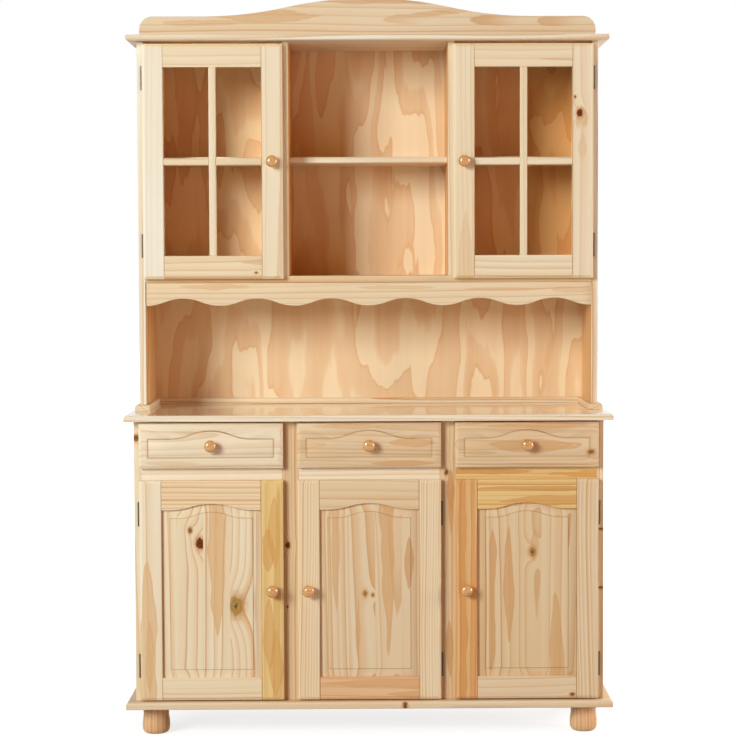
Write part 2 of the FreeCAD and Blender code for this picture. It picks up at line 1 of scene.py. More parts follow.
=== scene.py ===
import json
import math
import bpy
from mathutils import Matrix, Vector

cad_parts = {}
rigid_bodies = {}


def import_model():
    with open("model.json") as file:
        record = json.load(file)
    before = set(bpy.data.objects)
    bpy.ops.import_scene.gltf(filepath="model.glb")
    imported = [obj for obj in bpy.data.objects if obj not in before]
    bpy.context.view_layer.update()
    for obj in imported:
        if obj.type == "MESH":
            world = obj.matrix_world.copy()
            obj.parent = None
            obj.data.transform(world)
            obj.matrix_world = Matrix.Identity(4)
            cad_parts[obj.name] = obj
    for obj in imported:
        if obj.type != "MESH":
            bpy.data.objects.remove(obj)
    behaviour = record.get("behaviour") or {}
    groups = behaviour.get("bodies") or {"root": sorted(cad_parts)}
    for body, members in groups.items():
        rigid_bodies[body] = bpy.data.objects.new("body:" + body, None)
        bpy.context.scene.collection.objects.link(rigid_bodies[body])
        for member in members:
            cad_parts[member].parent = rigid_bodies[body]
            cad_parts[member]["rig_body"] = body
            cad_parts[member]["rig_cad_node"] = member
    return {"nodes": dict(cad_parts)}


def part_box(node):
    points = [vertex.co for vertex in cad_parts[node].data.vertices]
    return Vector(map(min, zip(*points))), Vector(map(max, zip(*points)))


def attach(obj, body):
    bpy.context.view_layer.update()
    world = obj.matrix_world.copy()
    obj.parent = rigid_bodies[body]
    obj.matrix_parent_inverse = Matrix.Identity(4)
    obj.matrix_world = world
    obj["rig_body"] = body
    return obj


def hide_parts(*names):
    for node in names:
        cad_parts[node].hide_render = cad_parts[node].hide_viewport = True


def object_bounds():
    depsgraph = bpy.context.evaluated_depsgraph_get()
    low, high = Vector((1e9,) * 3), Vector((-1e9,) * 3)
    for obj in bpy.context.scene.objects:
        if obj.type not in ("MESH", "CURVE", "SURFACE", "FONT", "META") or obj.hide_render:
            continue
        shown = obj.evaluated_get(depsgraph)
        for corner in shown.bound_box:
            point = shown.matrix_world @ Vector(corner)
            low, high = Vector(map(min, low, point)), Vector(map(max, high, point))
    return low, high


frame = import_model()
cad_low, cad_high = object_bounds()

import zlib
from functools import partialmethod

import bpy
from bpy.props import FloatProperty, FloatVectorProperty, PointerProperty
from mathutils import Matrix, Vector

bl_info = {
    "name": "Pine Dresser Looks",
    "version": (1, 0, 0),
    "blender": (4, 5, 0),
    "location": "3D View > Sidebar > Dresser",
    "description": "Dresses the boards, doors, drawers, turnings and fittings of a pine dresser",
    "category": "Object",
}

NODES = frame["nodes"]

# How a board's own directions lie in the frame: across its face, through it, and along its grain
GRAINS = {
    "upright": ("X", "Y", "Z"),
    "level": ("Z", "Y", "X"),
    "flat": ("Y", "Z", "X"),
    "side": ("Y", "X", "Z"),
    "deep": ("Z", "X", "Y"),
}

# How a plank was cut from the log: where its pith lies, how far that leans, and how wide its rings are
FIGURES = {
    "mixed": {"Pith": 0.0, "Spread": 0.08, "Lean": 0.018, "Spacing": 0.013, "Strength": 1.3},
    "calm": {"Pith": 0.0, "Spread": 0.08, "Lean": 0.03, "Spacing": 0.016, "Strength": 1.05},
    "striped": {"Pith": 0.075, "Spread": 0.03, "Lean": 0.012, "Spacing": 0.008, "Strength": 1.25},
    "plain": {"Pith": 0.05, "Spread": 0.05, "Lean": 0.02, "Spacing": 0.014, "Strength": 0.65},
    "faint": {"Pith": 0.05, "Spread": 0.05, "Lean": 0.02, "Spacing": 0.016, "Strength": 0.35},
    "quartered": {"Pith": 0.11, "Spread": 0.02, "Lean": 0.006, "Spacing": 0.0075, "Strength": 1.2},
    "turned": {"Pith": 0.03, "Spread": 0.01, "Lean": 0.7, "Spacing": 0.0055, "Strength": 1.6},
}

# Figures of boards that are glued up from staves
GLUED = ("mixed", "calm")

# Tints that tell one plank from the next, and below them tints of painted shade for cuts, inner edges, inner
# faces and veneer; the edge line is also a joint line and the bevel tint also end grain
TONES = {
    "cream": (1.0, 1.06, 1.18),
    "pale": (1.0, 1.03, 1.08),
    "honey": (0.97, 0.95, 0.92),
    "warm": (0.97, 0.88, 0.8),
    "tawny": (0.89, 0.82, 0.75),
    "dusky": (0.86, 0.77, 0.66),
    "russet": (0.88, 0.65, 0.49),
    "golden": (0.9, 0.74, 0.44),
    "amber": (0.87, 0.63, 0.39),
    "straw": (0.92, 0.79, 0.48),
    "toffee": (0.75, 0.45, 0.14),
    # Painted shade in the groove of a drawer front's arched line
    "painted_groove_shade": (0.74, 0.62, 0.48),
    # A dark joint line at the rails that is also a painted shadow line along a stile's inner edge
    "joint_and_shade_line": (0.62, 0.47, 0.32),
    # Top and foot bevels of the glazed doors: end grain on the stiles, and painted shade under the cornice
    # and on faces turned down
    "end_grain_and_shade": (0.97, 0.86, 0.7),
    # Painted shade on the step and ledge round a raised panel's field
    "painted_border_shade": (0.81, 0.71, 0.57),
    # Painted shade on the inner faces of the hutch's sides and dividers
    "inside": (0.84, 0.58, 0.34),
    # Painted shade on the back veneer behind the right door's right-hand panes
    "painted_shade_sheet": (0.74, 0.55, 0.34),
}

# Where a face counts as part of a cut that gets painted shade: how far behind the front it lies, and which
# way it points
LINE_DEPTH = 0.0001
LINE_TURN = -0.1
STEP_DEPTH = 0.001
LEDGE_DEPTH = 0.002
STEP_TURN = -0.95
BEVEL_TURN = -0.5
BEVEL_RISE = 0.4
SIDEWAYS = 0.9

# What counts as one corner or one place, and the angles that tell flat faces, curves and edges apart
WELD_GAP = 0.000002
CORNER_DIGITS = 6
ORDER_DIGITS = 3
FLAT_ANGLE = math.radians(0.2)
CURVE_ANGLE = math.radians(18)
EDGE_ANGLE = math.radians(35)
TURNED_ANGLE = math.radians(50)

# Which of the three directions a turned piece stands along
DEPTHWISE, UPWARDS = 1, 2

# Shine of the lacquer on the boards, on the worktop and knobs, and on the veneer
SATIN_SHINE = 0.12
GLOSSY_SHINE = 0.5
VENEER_SHINE = 0.04
GLOSS_ROUGHNESS = 0.1

# How far fibres and grain lines stand out of the lacquer, and how much the fibres roughen it
GRAIN_STRENGTH = 0.12
GRAIN_HEIGHT = 0.0006
LINE_HEIGHT = 0.5
FIBRE_ROUGHNESS = 0.12

# How fine the unevenness of wood and metal is: across, through and along the grain, for each metre
RING_SWAYS = (5.0, 5.0, 1.1)
RING_SHIVERS = (26.0, 26.0, 3.2)
RING_CROWDS = (0.55, 1.0, 1.0)
PINE_FIBRES = (620.0, 620.0, 9.0)
PINE_CLOUDS = (9.0, 9.0, 1.6)
KNOT_EDGE = (130.0, 130.0, 80.0)
TONGUE_SWAYS = (12.0, 12.0, 5.0)
TONGUE_SWELLS = (20.0, 20.0, 9.0)
TONGUE_FEATHER = (300.0, 300.0, 12.0)
VENEER_FLAMES = (6.0, 1.0, 1.35)
VENEER_FEATHER = (40.0, 1.0, 6.0)
VENEER_STREAKS = (34.0, 1.0, 0.7)
VENEER_FIBRES = (520.0, 520.0, 7.0)
VENEER_CLOUDS = (7.0, 1.0, 1.8)
METAL_WEAR = (240.0, 240.0, 240.0)

# How far the rings of the pine stray, in metres, and how unevenly they follow each other
RING_SWAY = 0.03
RING_SHIVER = 0.0042
RING_STARTS = 5.0
RING_UNEVENNESS = 1.3

# How strongly fibres and clouds show in pine, how clouds tint it, and how far its tan bands stand out
FIBRE_SHARE = 0.1
CLOUD_SHARE = 0.22
RED_POWER = 0.3
BLUE_POWER = 1.9
TAN_HEIGHT = 0.4

# What turns a name into a seed, and what keeps the chances of seeds and staves apart
SEED_COUNT = 1000
SEED_SCALE = 50.0
SEED_SKEW = 1.7
STAVE_SKEW = 3.7

# Range and start of what differs by chance from stave to stave or from ring to ring
PITH_DEPTHS = (0.05, 0.022)
RING_WIDTHS = (0.7, 0.7)
STAVE_WARMTHS = (0.07, 0.965)
TAN_SHARES = (0.75, 0.1)
LINE_SHARES = (0.55, 0.15)

# How the tan and the dark line rise and fall over one ring, and the flames over one turn of the veneer
TAN_STOPS = (0.0, 0.0), (0.34, 0.04), (0.6, 0.6), (0.8, 0.8), (0.985, 1.0), (1.0, 0.0)
LINE_STOPS = (0.0, 0.0), (0.8, 0.0), (0.93, 0.9), (0.975, 1.0), (1.0, 0.0)
FLAME_STOPS = (0.0, 0.0), (0.4, 0.04), (0.5, 0.5), (0.62, 0.6), (0.9, 0.7), (0.97, 1.0), (1.0, 0.0)

# A knot: its rings, its shape, how it pushes the pine's rings aside, and its rim, halo and heart in radii
KNOT_STOPS = (0.0, 0.8), (0.6, 1.0), (1.0, 0.65)
KNOT_RINGS = 3.3
KNOT_SQUEEZE = 0.7
KNOT_RAGGEDNESS = 0.7
KNOT_PUSH = 1.6
KNOT_PUSH_FADE = -0.16
KNOT_RIM = (0.8, 1.05)
KNOT_HALO = (0.9, 1.9)
KNOT_HALO_SHARE = 0.65
KNOT_HEART = (0.08, 0.32)
KNOT_HEART_SHADES = (0.7, 0.3)

# A tongue: its lines and rim, how its point and its edge wander, and where point, edge and rim start and end
TONGUE_STOPS = (0.0, 0.0), (0.6, 0.0), (0.9, 0.7), (1.0, 0.0)
TONGUE_LINES = 0.0075
TONGUE_RIM_SHARE = 0.4
POINT_SWAY = 0.3
POINT_FEATHER = 1.2
POINT_ROUNDNESS = 0.6
POINT_FADE = (0.0, 0.1)
EDGE_SWELL = 1.3
EDGE_SWAY = 0.016
EDGE_FEATHER = 0.012
EDGE_FADE = (0.0, 0.0025)
RIM_FADE = (0.0005, 0.006)
LEAST_WIDTH = 0.00001

# Veneer: how many flames it has, how ragged they are, and how strongly each part of its figure shows
FLAME_COUNT = 7.0
FLAME_RAGGEDNESS = 0.5
FLAME_SHARE = 0.66
STREAK_SHARE = 0.7
VENEER_FIBRE_SHARE = 0.12
VENEER_CLOUD_SHARE = 0.16

# Worn metal: where its spots show, and how much lighter and rougher they are
WEAR_SPOTS = (0.0, 0.3)
WEAR_LIGHTENING = 1.9
WEAR_ROUGHENING = 0.3

WHITE = (1.0, 1.0, 1.0)

# Sockets of the wood's node groups that don't hold a number
SOCKETS = {"Board": "Vector", "Tone": "Color", "Color": "Color"}

# Kinds of settings
COLOUR = {"subtype": "COLOR"}
LENGTH = {"subtype": "DISTANCE", "unit": "LENGTH"}
PLACE = {"subtype": "TRANSLATION", "unit": "LENGTH"}
SIZE = {"size": 2, "unit": "LENGTH"}
SHARE = {"subtype": "FACTOR"}
ANGLE = {"subtype": "ANGLE"}


def setting(name, description, default, **kind):
    """A number, or a row of numbers, that the panel shows."""
    make = FloatVectorProperty if isinstance(default, tuple) else FloatProperty
    return make(name=name, description=description, default=default, **kind)


class DresserFinish(bpy.types.PropertyGroup):
    """Colours and small sizes of the wood, the glass and the metal."""

    pale_wood: setting("Pale wood", "Pine between its lines", (0.91, 0.76, 0.535), **COLOUR)
    tan_wood: setting("Tan wood", "The broad bands of the pine", (0.78, 0.475, 0.22), **COLOUR)
    late_wood: setting("Grain lines", "The darker lines of the pine", (0.62, 0.3, 0.1), **COLOUR)
    live_knot: setting("Sound knot", "A knot grown into the wood", (0.52, 0.29, 0.08), **COLOUR)
    dead_knot: setting("Dark knot", "A knot with bark round it", (0.2, 0.04, 0.008), **COLOUR)
    pale_veneer: setting("Pale veneer", "The back panels' ground", (0.98, 0.79, 0.52), **COLOUR)
    flame_veneer: setting("Veneer flames", "The back panels' figure", (0.77, 0.41, 0.16), **COLOUR)
    bronze: setting("Bronze", "Hinges and strike plates", (0.09, 0.065, 0.04), **COLOUR)
    catch_brown: setting("Catch brown", "The magnet catches' case", (0.2, 0.1, 0.045), **COLOUR)
    glass_tint: setting("Glass tint", "What the panes let through", (0.9, 0.85, 0.78), **COLOUR)
    glass_bend: setting("Glass bend", "How strongly the thin panes bend and mirror light", 1.09)
    glass_roughness: setting("Glass roughness", "Roughness of the panes", 0.02, **SHARE)
    stave_width: setting("Stave width", "Width of the strips glued into a wide board", 0.071, **LENGTH)
    plank_width: setting("Plank width", "Width over which a plank is one piece of wood", 0.8, **LENGTH)
    # Where the painted shade on the back veneer begins
    veneer_joint: setting("Veneer joint", "From a back panel's middle to its second sheet", 0.452, **LENGTH)
    edge_ease: setting("Edge ease", "How far each board's edges are rounded over", 0.0012, **LENGTH)
    # The line is a dark joint line at the rails and a painted shadow line along the panel or glass
    seam_width: setting("Seam width", "Width of the dark line along a stile's inner edge", 0.0016, **LENGTH)
    line_reach: setting("Line reach", "Margin of a drawer front outside its arched line", 0.012, **LENGTH)
    lacquer_roughness: setting("Lacquer roughness", "Roughness of the satin lacquer", 0.42, **SHARE)
    top_roughness: setting("Worktop roughness", "Roughness of the worktop and knobs", 0.22, **SHARE)


class DresserStage(bpy.types.PropertyGroup):
    """Where the camera and the lamps stand, and how pale the floor is."""

    camera_place: setting("Camera", "Where the camera stands", (0.025, -5.1926, 1.2982), **PLACE)
    camera_yaw: setting("Yaw", "Turn to the right", math.radians(0.678), **ANGLE)
    camera_pitch: setting("Pitch", "Tilt upwards", math.radians(-2.877), **ANGLE)
    camera_roll: setting("Roll", "Turn about the line of sight", math.radians(-0.175), **ANGLE)
    lens: setting("Lens", "Focal length in millimetres", 91.29)
    sensor: setting("Sensor", "Width of the picture in the camera, in millimetres", 36.0)
    frame_shift: setting("Shift", "Shift of the picture, as shares of its width", (-0.0435, -0.0245), size=2)
    key_place: setting("Key lamp", "Where the lamp on the left stands", (-5.66, -6.18, 3.7), **PLACE)
    key_size: setting("Key size", "Width and height of the lamp on the left", (3.1, 3.4), **SIZE)
    key_power: setting("Key power", "Power of the lamp on the left, in watts", 710.0)
    key_colour: setting("Key colour", "Colour of the lamp on the left", (0.86, 0.935, 0.955), **COLOUR)
    fill_place: setting("Fill lamp", "Where the warm lamp in front stands", (2.8, -5.2, 1.4), **PLACE)
    fill_size: setting("Fill size", "Width and height of the lamp in front", (2.4, 2.2), **SIZE)
    fill_power: setting("Fill power", "Power of the lamp in front, in watts", 25.0)
    fill_colour: setting("Fill colour", "Colour of the lamp in front", (1.0, 0.3, 0.05), **COLOUR)
    side_place: setting("Side lamp", "Where the lamp on the right stands", (6.5, -1.2, 2.2), **PLACE)
    side_size: setting("Side size", "Width and height of the lamp on the right", (2.4, 3.0), **SIZE)
    side_power: setting("Side power", "Power of the lamp on the right, in watts", 260.0)
    rear_place: setting("Rear lamp", "Where the lamp behind on the right stands", (6.0, 7.0, 4.0), **PLACE)
    rear_size: setting("Rear size", "Width and height of the lamp behind", (5.0, 4.0), **SIZE)
    rear_power: setting("Rear power", "Power of the lamp behind, in watts", 620.0)
    ambient: setting("Ambient", "Light from all round", 0.055)
    ambient_colour: setting("Ambient colour", "Colour of that light", (1.0, 0.3, 0.05), **COLOUR)
    floor_size: setting("Floor size", "Length of the floor's sides", 40.0, **LENGTH)
    floor_grey: setting("Floor grey", "Colour of the floor under the lamps", (0.45, 0.45, 0.45), **COLOUR)
    floor_roughness: setting("Floor roughness", "Roughness of the floor", 0.7, **SHARE)
    floor_lift: setting("Floor lift", "How much of the floor's white near the object needs no lamp", 0.76)
    floor_near: setting("Floor near", "How far from the middle the shadow shows", 0.9, **LENGTH)
    floor_far: setting("Floor far", "How far from the middle the floor is quite white", 2.4, **LENGTH)


def finish():
    return bpy.context.scene.dresser_finish


class Graph:
    """Adds nodes to one tree. An input is a number, a colour or another node's socket."""

    def __init__(self, tree):
        self.tree = tree

    def node(self, kind, **settings):
        made = self.tree.nodes.new(kind)
        for name, value in settings.items():
            setattr(made, name, value)
        return made

    def feed(self, socket, value):
        if isinstance(value, bpy.types.NodeSocket):
            self.tree.links.new(value, socket)
        else:
            socket.default_value = value

    def math(self, operation, *values, clamp=False):
        made = self.node("ShaderNodeMath", operation=operation, use_clamp=clamp)
        for socket, value in zip(made.inputs, values):
            self.feed(socket, value)
        return made.outputs[0]

    plus = partialmethod(math, "ADD")
    minus = partialmethod(math, "SUBTRACT")
    times = partialmethod(math, "MULTIPLY")
    over = partialmethod(math, "DIVIDE")
    times_plus = partialmethod(math, "MULTIPLY_ADD")

    def swing(self, value):
        """From minus one to one, for a number from zero to one."""
        return self.times_plus(value, 2.0, -1.0)

    def squares(self, first, second):
        return self.times_plus(first, first, self.times(second, second))

    def vector(self, operation, *values):
        made = self.node("ShaderNodeVectorMath", operation=operation)
        for socket, value in zip(made.inputs, values):
            self.feed(socket, value)
        return made.outputs[0]

    def split(self, vector):
        made = self.node("ShaderNodeSeparateXYZ")
        self.feed(made.inputs[0], vector)
        return made.outputs

    def join(self, x, y, z):
        made = self.node("ShaderNodeCombineXYZ")
        for socket, value in zip(made.inputs, (x, y, z)):
            self.feed(socket, value)
        return made.outputs[0]

    def noise(self, place, stretch, detail=2.0, roughness=0.5):
        """Smooth noise about zero, with the place stretched by three factors first."""
        made = self.node("ShaderNodeTexNoise")
        self.feed(made.inputs["Vector"], self.vector("MULTIPLY", place, stretch))
        made.inputs["Scale"].default_value = 1.0
        made.inputs["Detail"].default_value = detail
        made.inputs["Roughness"].default_value = roughness
        return self.minus(made.outputs["Fac"], 0.5)

    def randoms(self, first, second):
        """Three even random numbers that belong to a pair of numbers."""
        made = self.node("ShaderNodeTexWhiteNoise", noise_dimensions="2D")
        self.feed(made.inputs["Vector"], self.join(first, second, 0.0))
        return self.split(made.outputs["Color"])

    def ramp(self, value, *stops):
        made = self.node("ShaderNodeValToRGB")
        self.feed(made.inputs["Fac"], value)
        elements = made.color_ramp.elements
        while len(elements) < len(stops):
            elements.new(1.0)
        for element, (place, level) in zip(elements, stops):
            element.position = place
            element.color = (level, level, level, 1.0)
        return made.outputs["Color"]

    def blend(self, share, start, end, mode="MIX"):
        made = self.node("ShaderNodeMix", data_type="RGBA", blend_type=mode)
        self.feed(made.inputs[0], share)
        self.feed(made.inputs[6], start)
        self.feed(made.inputs[7], end)
        return made.outputs[2]

    def ease(self, value, low, high):
        """Zero up to low, one from high on, and smooth between."""
        made = self.node("ShaderNodeMapRange", interpolation_type="SMOOTHSTEP")
        self.feed(made.inputs["Value"], value)
        self.feed(made.inputs["From Min"], low)
        self.feed(made.inputs["From Max"], high)
        return made.outputs["Result"]


def opaque(colour):
    return (*colour, 1.0)


def new_group(name, inputs, outputs):
    """Starts a node group. Its sockets hold numbers, apart from the place on the board and the colours."""
    tree = bpy.data.node_groups.new(name, "ShaderNodeTree")
    for way, labels in (("INPUT", inputs), ("OUTPUT", outputs)):
        for label in labels:
            kind = "NodeSocket" + SOCKETS.get(label, "Float")
            tree.interface.new_socket(name=label, in_out=way, socket_type=kind)
    graph = Graph(tree)
    return graph, graph.node("NodeGroupInput").outputs, graph.node("NodeGroupOutput").inputs


def stave_count(graph, across, given):
    """Which stave a place lies in, counted in whole staves and parts of one."""
    return graph.plus(graph.over(across, given["Stave"]), given["Shift"])


def same_stave(graph, across, given):
    """One where a place lies in the stave that holds the feature, and zero in the others."""
    here = graph.math("FLOOR", stave_count(graph, across, given))
    there = graph.math("FLOOR", stave_count(graph, given["Across"], given))
    return graph.math("COMPARE", here, there, 0.5)


def pine_group(name):
    """Pine in the solid: rings about a leaning pith, in one plank or glued up from staves."""
    look = finish()
    graph, given, made = new_group(
        name,
        ("Board", "Bulge", "Seed", "Stave", "Shift", "Pith", "Spread", "Lean", "Spacing", "Strength", "Tone"),
        ("Color", "Lines", "Fibre"),
    )
    seed = given["Seed"]
    across, through, along = graph.split(given["Board"])
    moved = graph.vector("ADD", given["Board"], graph.join(seed, graph.times(seed, SEED_SKEW), seed))

    # Which stave this is, the place in it, and its own random numbers
    count = stave_count(graph, across, given)
    stave = graph.math("FLOOR", count)
    inside = graph.minus(graph.minus(count, stave), 0.5)
    inside = graph.times(inside, given["Stave"])
    first = graph.randoms(stave, seed)
    second = graph.randoms(graph.plus(stave, 0.5), seed)

    # The pith lies behind or before the face and leans, so the rings run out in tongues
    lean = graph.times(graph.swing(first[2]), given["Lean"])
    pith = graph.times(graph.swing(first[0]), given["Spread"])
    pith = graph.plus(pith, given["Pith"])
    side = graph.math("SIGN", graph.minus(second[0], 0.5))
    depth = graph.times(side, graph.times_plus(first[1], *PITH_DEPTHS))
    sway = graph.noise(moved, RING_SWAYS, detail=1.0)
    shiver = graph.noise(moved, RING_SHIVERS)
    off_across = graph.times_plus(sway, RING_SWAY, graph.minus(inside, pith))
    off_through = graph.times_plus(along, lean, graph.minus(through, depth))
    square = graph.squares(off_across, off_through)
    radius = graph.times_plus(shiver, RING_SHIVER, graph.math("SQRT", square))
    radius = graph.plus(radius, given["Bulge"])

    # Each ring goes from pale to tan and ends in a thin dark line
    spacing = graph.times(graph.times_plus(second[1], *RING_WIDTHS), given["Spacing"])
    phase = graph.times_plus(second[2], RING_STARTS, graph.over(radius, spacing))
    uneven = graph.noise(graph.join(phase, seed, 0.0), RING_CROWDS, detail=1.0)
    phase = graph.times_plus(uneven, RING_UNEVENNESS, phase)
    ring = graph.math("FLOOR", phase)
    turn = graph.minus(phase, ring)
    tan = graph.ramp(turn, *TAN_STOPS)
    line = graph.ramp(turn, *LINE_STOPS)
    chance = graph.randoms(ring, graph.times_plus(stave, STAVE_SKEW, seed))
    tan = graph.times(tan, graph.times_plus(chance[0], *TAN_SHARES))
    line = graph.times(line, graph.times_plus(chance[1], *LINE_SHARES))
    tan = graph.times(tan, given["Strength"])
    line = graph.times(line, given["Strength"])
    fibre = graph.noise(moved, PINE_FIBRES, detail=3.0)
    clouds = graph.noise(moved, PINE_CLOUDS)
    line = graph.times_plus(fibre, FIBRE_SHARE, line, clamp=True)

    colour = graph.blend(tan, opaque(look.pale_wood), opaque(look.tan_wood))
    colour = graph.blend(line, colour, opaque(look.late_wood))
    warm = graph.times_plus(clouds, CLOUD_SHARE, graph.times_plus(second[1], *STAVE_WARMTHS))
    tint = graph.join(graph.math("POWER", warm, RED_POWER), warm, graph.math("POWER", warm, BLUE_POWER))
    colour = graph.blend(1.0, colour, tint, mode="MULTIPLY")
    graph.feed(made["Color"], graph.blend(1.0, colour, given["Tone"], mode="MULTIPLY"))
    graph.feed(made["Lines"], graph.plus(line, graph.times(tan, TAN_HEIGHT)))
    graph.feed(made["Fibre"], fibre)


def knot_group(name):
    """One knot: how far it pushes the rings aside, where it covers the wood, and its colour."""
    look = finish()
    graph, given, made = new_group(
        name, ("Board", "Stave", "Shift", "Across", "Along", "Radius", "Dark"), ("Bulge", "Cover", "Color")
    )
    across, _, along = graph.split(given["Board"])
    radius = given["Radius"]
    here = same_stave(graph, across, given)
    ragged = graph.noise(given["Board"], KNOT_EDGE)
    off_across = graph.over(graph.minus(across, given["Across"]), radius)
    off_along = graph.over(graph.minus(along, given["Along"]), radius)
    off_along = graph.times(off_along, KNOT_SQUEEZE)
    square = graph.squares(off_across, off_along)
    away = graph.times_plus(ragged, KNOT_RAGGEDNESS, graph.math("SQRT", square))
    swell = graph.math("EXPONENT", graph.times(square, KNOT_PUSH_FADE))
    bulge = graph.times(graph.times(swell, radius), KNOT_PUSH)
    graph.feed(made["Bulge"], graph.times(bulge, here))
    inner = graph.minus(1.0, graph.ease(away, *KNOT_RIM))
    halo = graph.times(graph.minus(1.0, graph.ease(away, *KNOT_HALO)), KNOT_HALO_SHARE)
    graph.feed(made["Cover"], graph.times(graph.math("MAXIMUM", inner, halo), here))
    rings = graph.ramp(graph.math("FRACT", graph.times(away, KNOT_RINGS)), *KNOT_STOPS)
    heart = graph.times_plus(graph.ease(away, *KNOT_HEART), *KNOT_HEART_SHADES)
    core = graph.blend(given["Dark"], opaque(look.live_knot), opaque(look.dead_knot))
    shade = graph.times(rings, heart)
    core = graph.blend(1.0, core, graph.join(shade, shade, shade), mode="MULTIPLY")
    graph.feed(made["Color"], graph.blend(inner, opaque(look.late_wood), core))


def tongue_group(name):
    """One tongue of tan wood, smooth or ragged. It narrows to a point and fades towards its reach."""
    graph, given, made = new_group(
        name,
        ("Board", "Stave", "Shift", "Across", "Along", "Width", "Length", "Reach", "Ragged", "Fade"),
        ("Cover", "Edge"),
    )
    across, _, along = graph.split(given["Board"])
    place = graph.vector("ADD", given["Board"], graph.join(given["Across"], 0.0, given["Along"]))
    sway = graph.noise(place, TONGUE_SWAYS)
    swell = graph.noise(place, TONGUE_SWELLS, detail=1.0)
    feather = graph.noise(place, TONGUE_FEATHER, detail=3.0, roughness=0.6)
    feather = graph.times(feather, given["Ragged"])
    behind = graph.over(graph.minus(along, given["Along"]), given["Length"])
    behind = graph.times_plus(sway, POINT_SWAY, graph.times_plus(feather, POINT_FEATHER, behind))
    whole = graph.over(given["Reach"], graph.math("ABSOLUTE", given["Length"]))
    left = graph.minus(whole, behind)
    nearest = graph.math("MAXIMUM", graph.math("MINIMUM", behind, left), 0.0)
    nearest = graph.math("MINIMUM", nearest, 1.0)
    half = graph.math("POWER", nearest, POINT_ROUNDNESS)
    half = graph.times(half, graph.times_plus(swell, EDGE_SWELL, 1.0))
    half = graph.times_plus(half, given["Width"], LEAST_WIDTH)
    off = graph.minus(across, given["Across"])
    off = graph.math("ABSOLUTE", graph.times_plus(sway, EDGE_SWAY, off))
    depth = graph.times_plus(feather, EDGE_FEATHER, graph.minus(half, off))
    cover = graph.times(graph.ease(depth, *EDGE_FADE), graph.ease(nearest, *POINT_FADE))
    cover = graph.times(cover, graph.ease(left, 0.0, given["Fade"]))
    cover = graph.times(cover, same_stave(graph, across, given))
    graph.feed(made["Cover"], cover)
    rim = graph.minus(1.0, graph.ease(depth, *RIM_FADE))
    inner = graph.ramp(graph.math("FRACT", graph.over(depth, TONGUE_LINES)), *TONGUE_STOPS)
    graph.feed(made["Edge"], graph.times(cover, graph.math("MAXIMUM", rim, inner)))


def veneer_group(name):
    """Rotary-cut pine veneer: broad upright flames, each with a thin dark rim."""
    look = finish()
    graph, given, made = new_group(
        name, ("Board", "Seed", "Shade Edge", "Foot", "Tone"), ("Color", "Lines", "Fibre")
    )
    seed = given["Seed"]
    across, through, along = graph.split(given["Board"])
    moved = graph.vector("ADD", given["Board"], graph.join(seed, seed, seed))
    broad = graph.noise(moved, VENEER_FLAMES, roughness=0.45)
    feather = graph.noise(moved, VENEER_FEATHER)
    streak = graph.noise(moved, VENEER_STREAKS, detail=3.0, roughness=0.6)
    fibre = graph.noise(moved, VENEER_FIBRES, detail=3.0)
    phase = graph.plus(graph.times(broad, FLAME_COUNT), graph.times(feather, FLAME_RAGGEDNESS))
    turn = graph.math("FRACT", phase)
    flame = graph.ramp(turn, *FLAME_STOPS)
    flame = graph.times_plus(streak, STREAK_SHARE, flame, clamp=True)
    clouds = graph.noise(moved, VENEER_CLOUDS)
    lines = graph.times_plus(fibre, VENEER_FIBRE_SHARE, graph.times(flame, FLAME_SHARE))
    colour = graph.blend(lines, opaque(look.pale_veneer), opaque(look.flame_veneer))
    level = graph.times_plus(clouds, VENEER_CLOUD_SHARE, 1.0)
    colour = graph.blend(1.0, colour, graph.join(level, level, level), mode="MULTIPLY")
    # Painted shade: the inner face right of the shade edge and above the foot is darker
    painted_shade_share = graph.math("GREATER_THAN", across, given["Shade Edge"])
    painted_shade_share = graph.times(painted_shade_share, graph.math("GREATER_THAN", along, given["Foot"]))
    painted_shade_share = graph.times(painted_shade_share, graph.math("LESS_THAN", through, 0.0))
    graph.feed(made["Color"], graph.blend(painted_shade_share, colour, given["Tone"], mode="MULTIPLY"))
    graph.feed(made["Lines"], lines)
    graph.feed(made["Fibre"], fibre)


def seed_of(name):
    """A steady number for a name, the same in every run."""
    return zlib.crc32(name.encode()) % SEED_COUNT / SEED_SCALE


def board_place(graph, centre, grain):
    """Object coordinates from the board's middle, turned to its own directions."""
    mapping = graph.node("ShaderNodeMapping")
    graph.feed(mapping.inputs["Vector"], graph.node("ShaderNodeTexCoord").outputs["Object"])
    mapping.inputs["Location"].default_value = -centre
    parts = graph.split(mapping.outputs[0])
    return graph.join(*(parts[axis] for axis in GRAINS[grain]))


def new_material(name):
    material = bpy.data.materials.new(name)
    material.use_nodes = True
    return material, Graph(material.node_tree)


def surface(graph, inputs):
    """Feeds a material's surface shader and returns what it sends out."""
    shader = graph.tree.nodes["Principled BSDF"]
    for label, value in inputs.items():
        graph.feed(shader.inputs[label], value)
    return shader.outputs[0]


def lacquered(graph, wood, colour, roughness, shine, gloss):
    """Sends wood to the surface shader under lacquer that its grain shows through."""
    fibre = wood.outputs["Fibre"]
    bump = graph.node("ShaderNodeBump")
    bump.inputs["Strength"].default_value = GRAIN_STRENGTH
    bump.inputs["Distance"].default_value = GRAIN_HEIGHT
    graph.feed(bump.inputs["Height"], graph.times_plus(wood.outputs["Lines"], LINE_HEIGHT, fibre))
    surface(graph, {
        "Base Color": colour,
        "Roughness": graph.times_plus(fibre, FIBRE_ROUGHNESS, roughness),
        "Normal": bump.outputs["Normal"],
        "Specular IOR Level": shine,
        "Coat Weight": gloss,
        "Coat Roughness": GLOSS_ROUGHNESS,
    })


def add_group(graph, build, place, settings):
    """Adds a group's node at a place on a board. The group is built when it is first asked for."""
    name = build.__name__
    if name not in bpy.data.node_groups:
        build(name)
    made = graph.node("ShaderNodeGroup", node_tree=bpy.data.node_groups[name])
    graph.feed(made.inputs["Board"], place)
    for label, value in settings.items():
        made.inputs[label].default_value = value
    return made


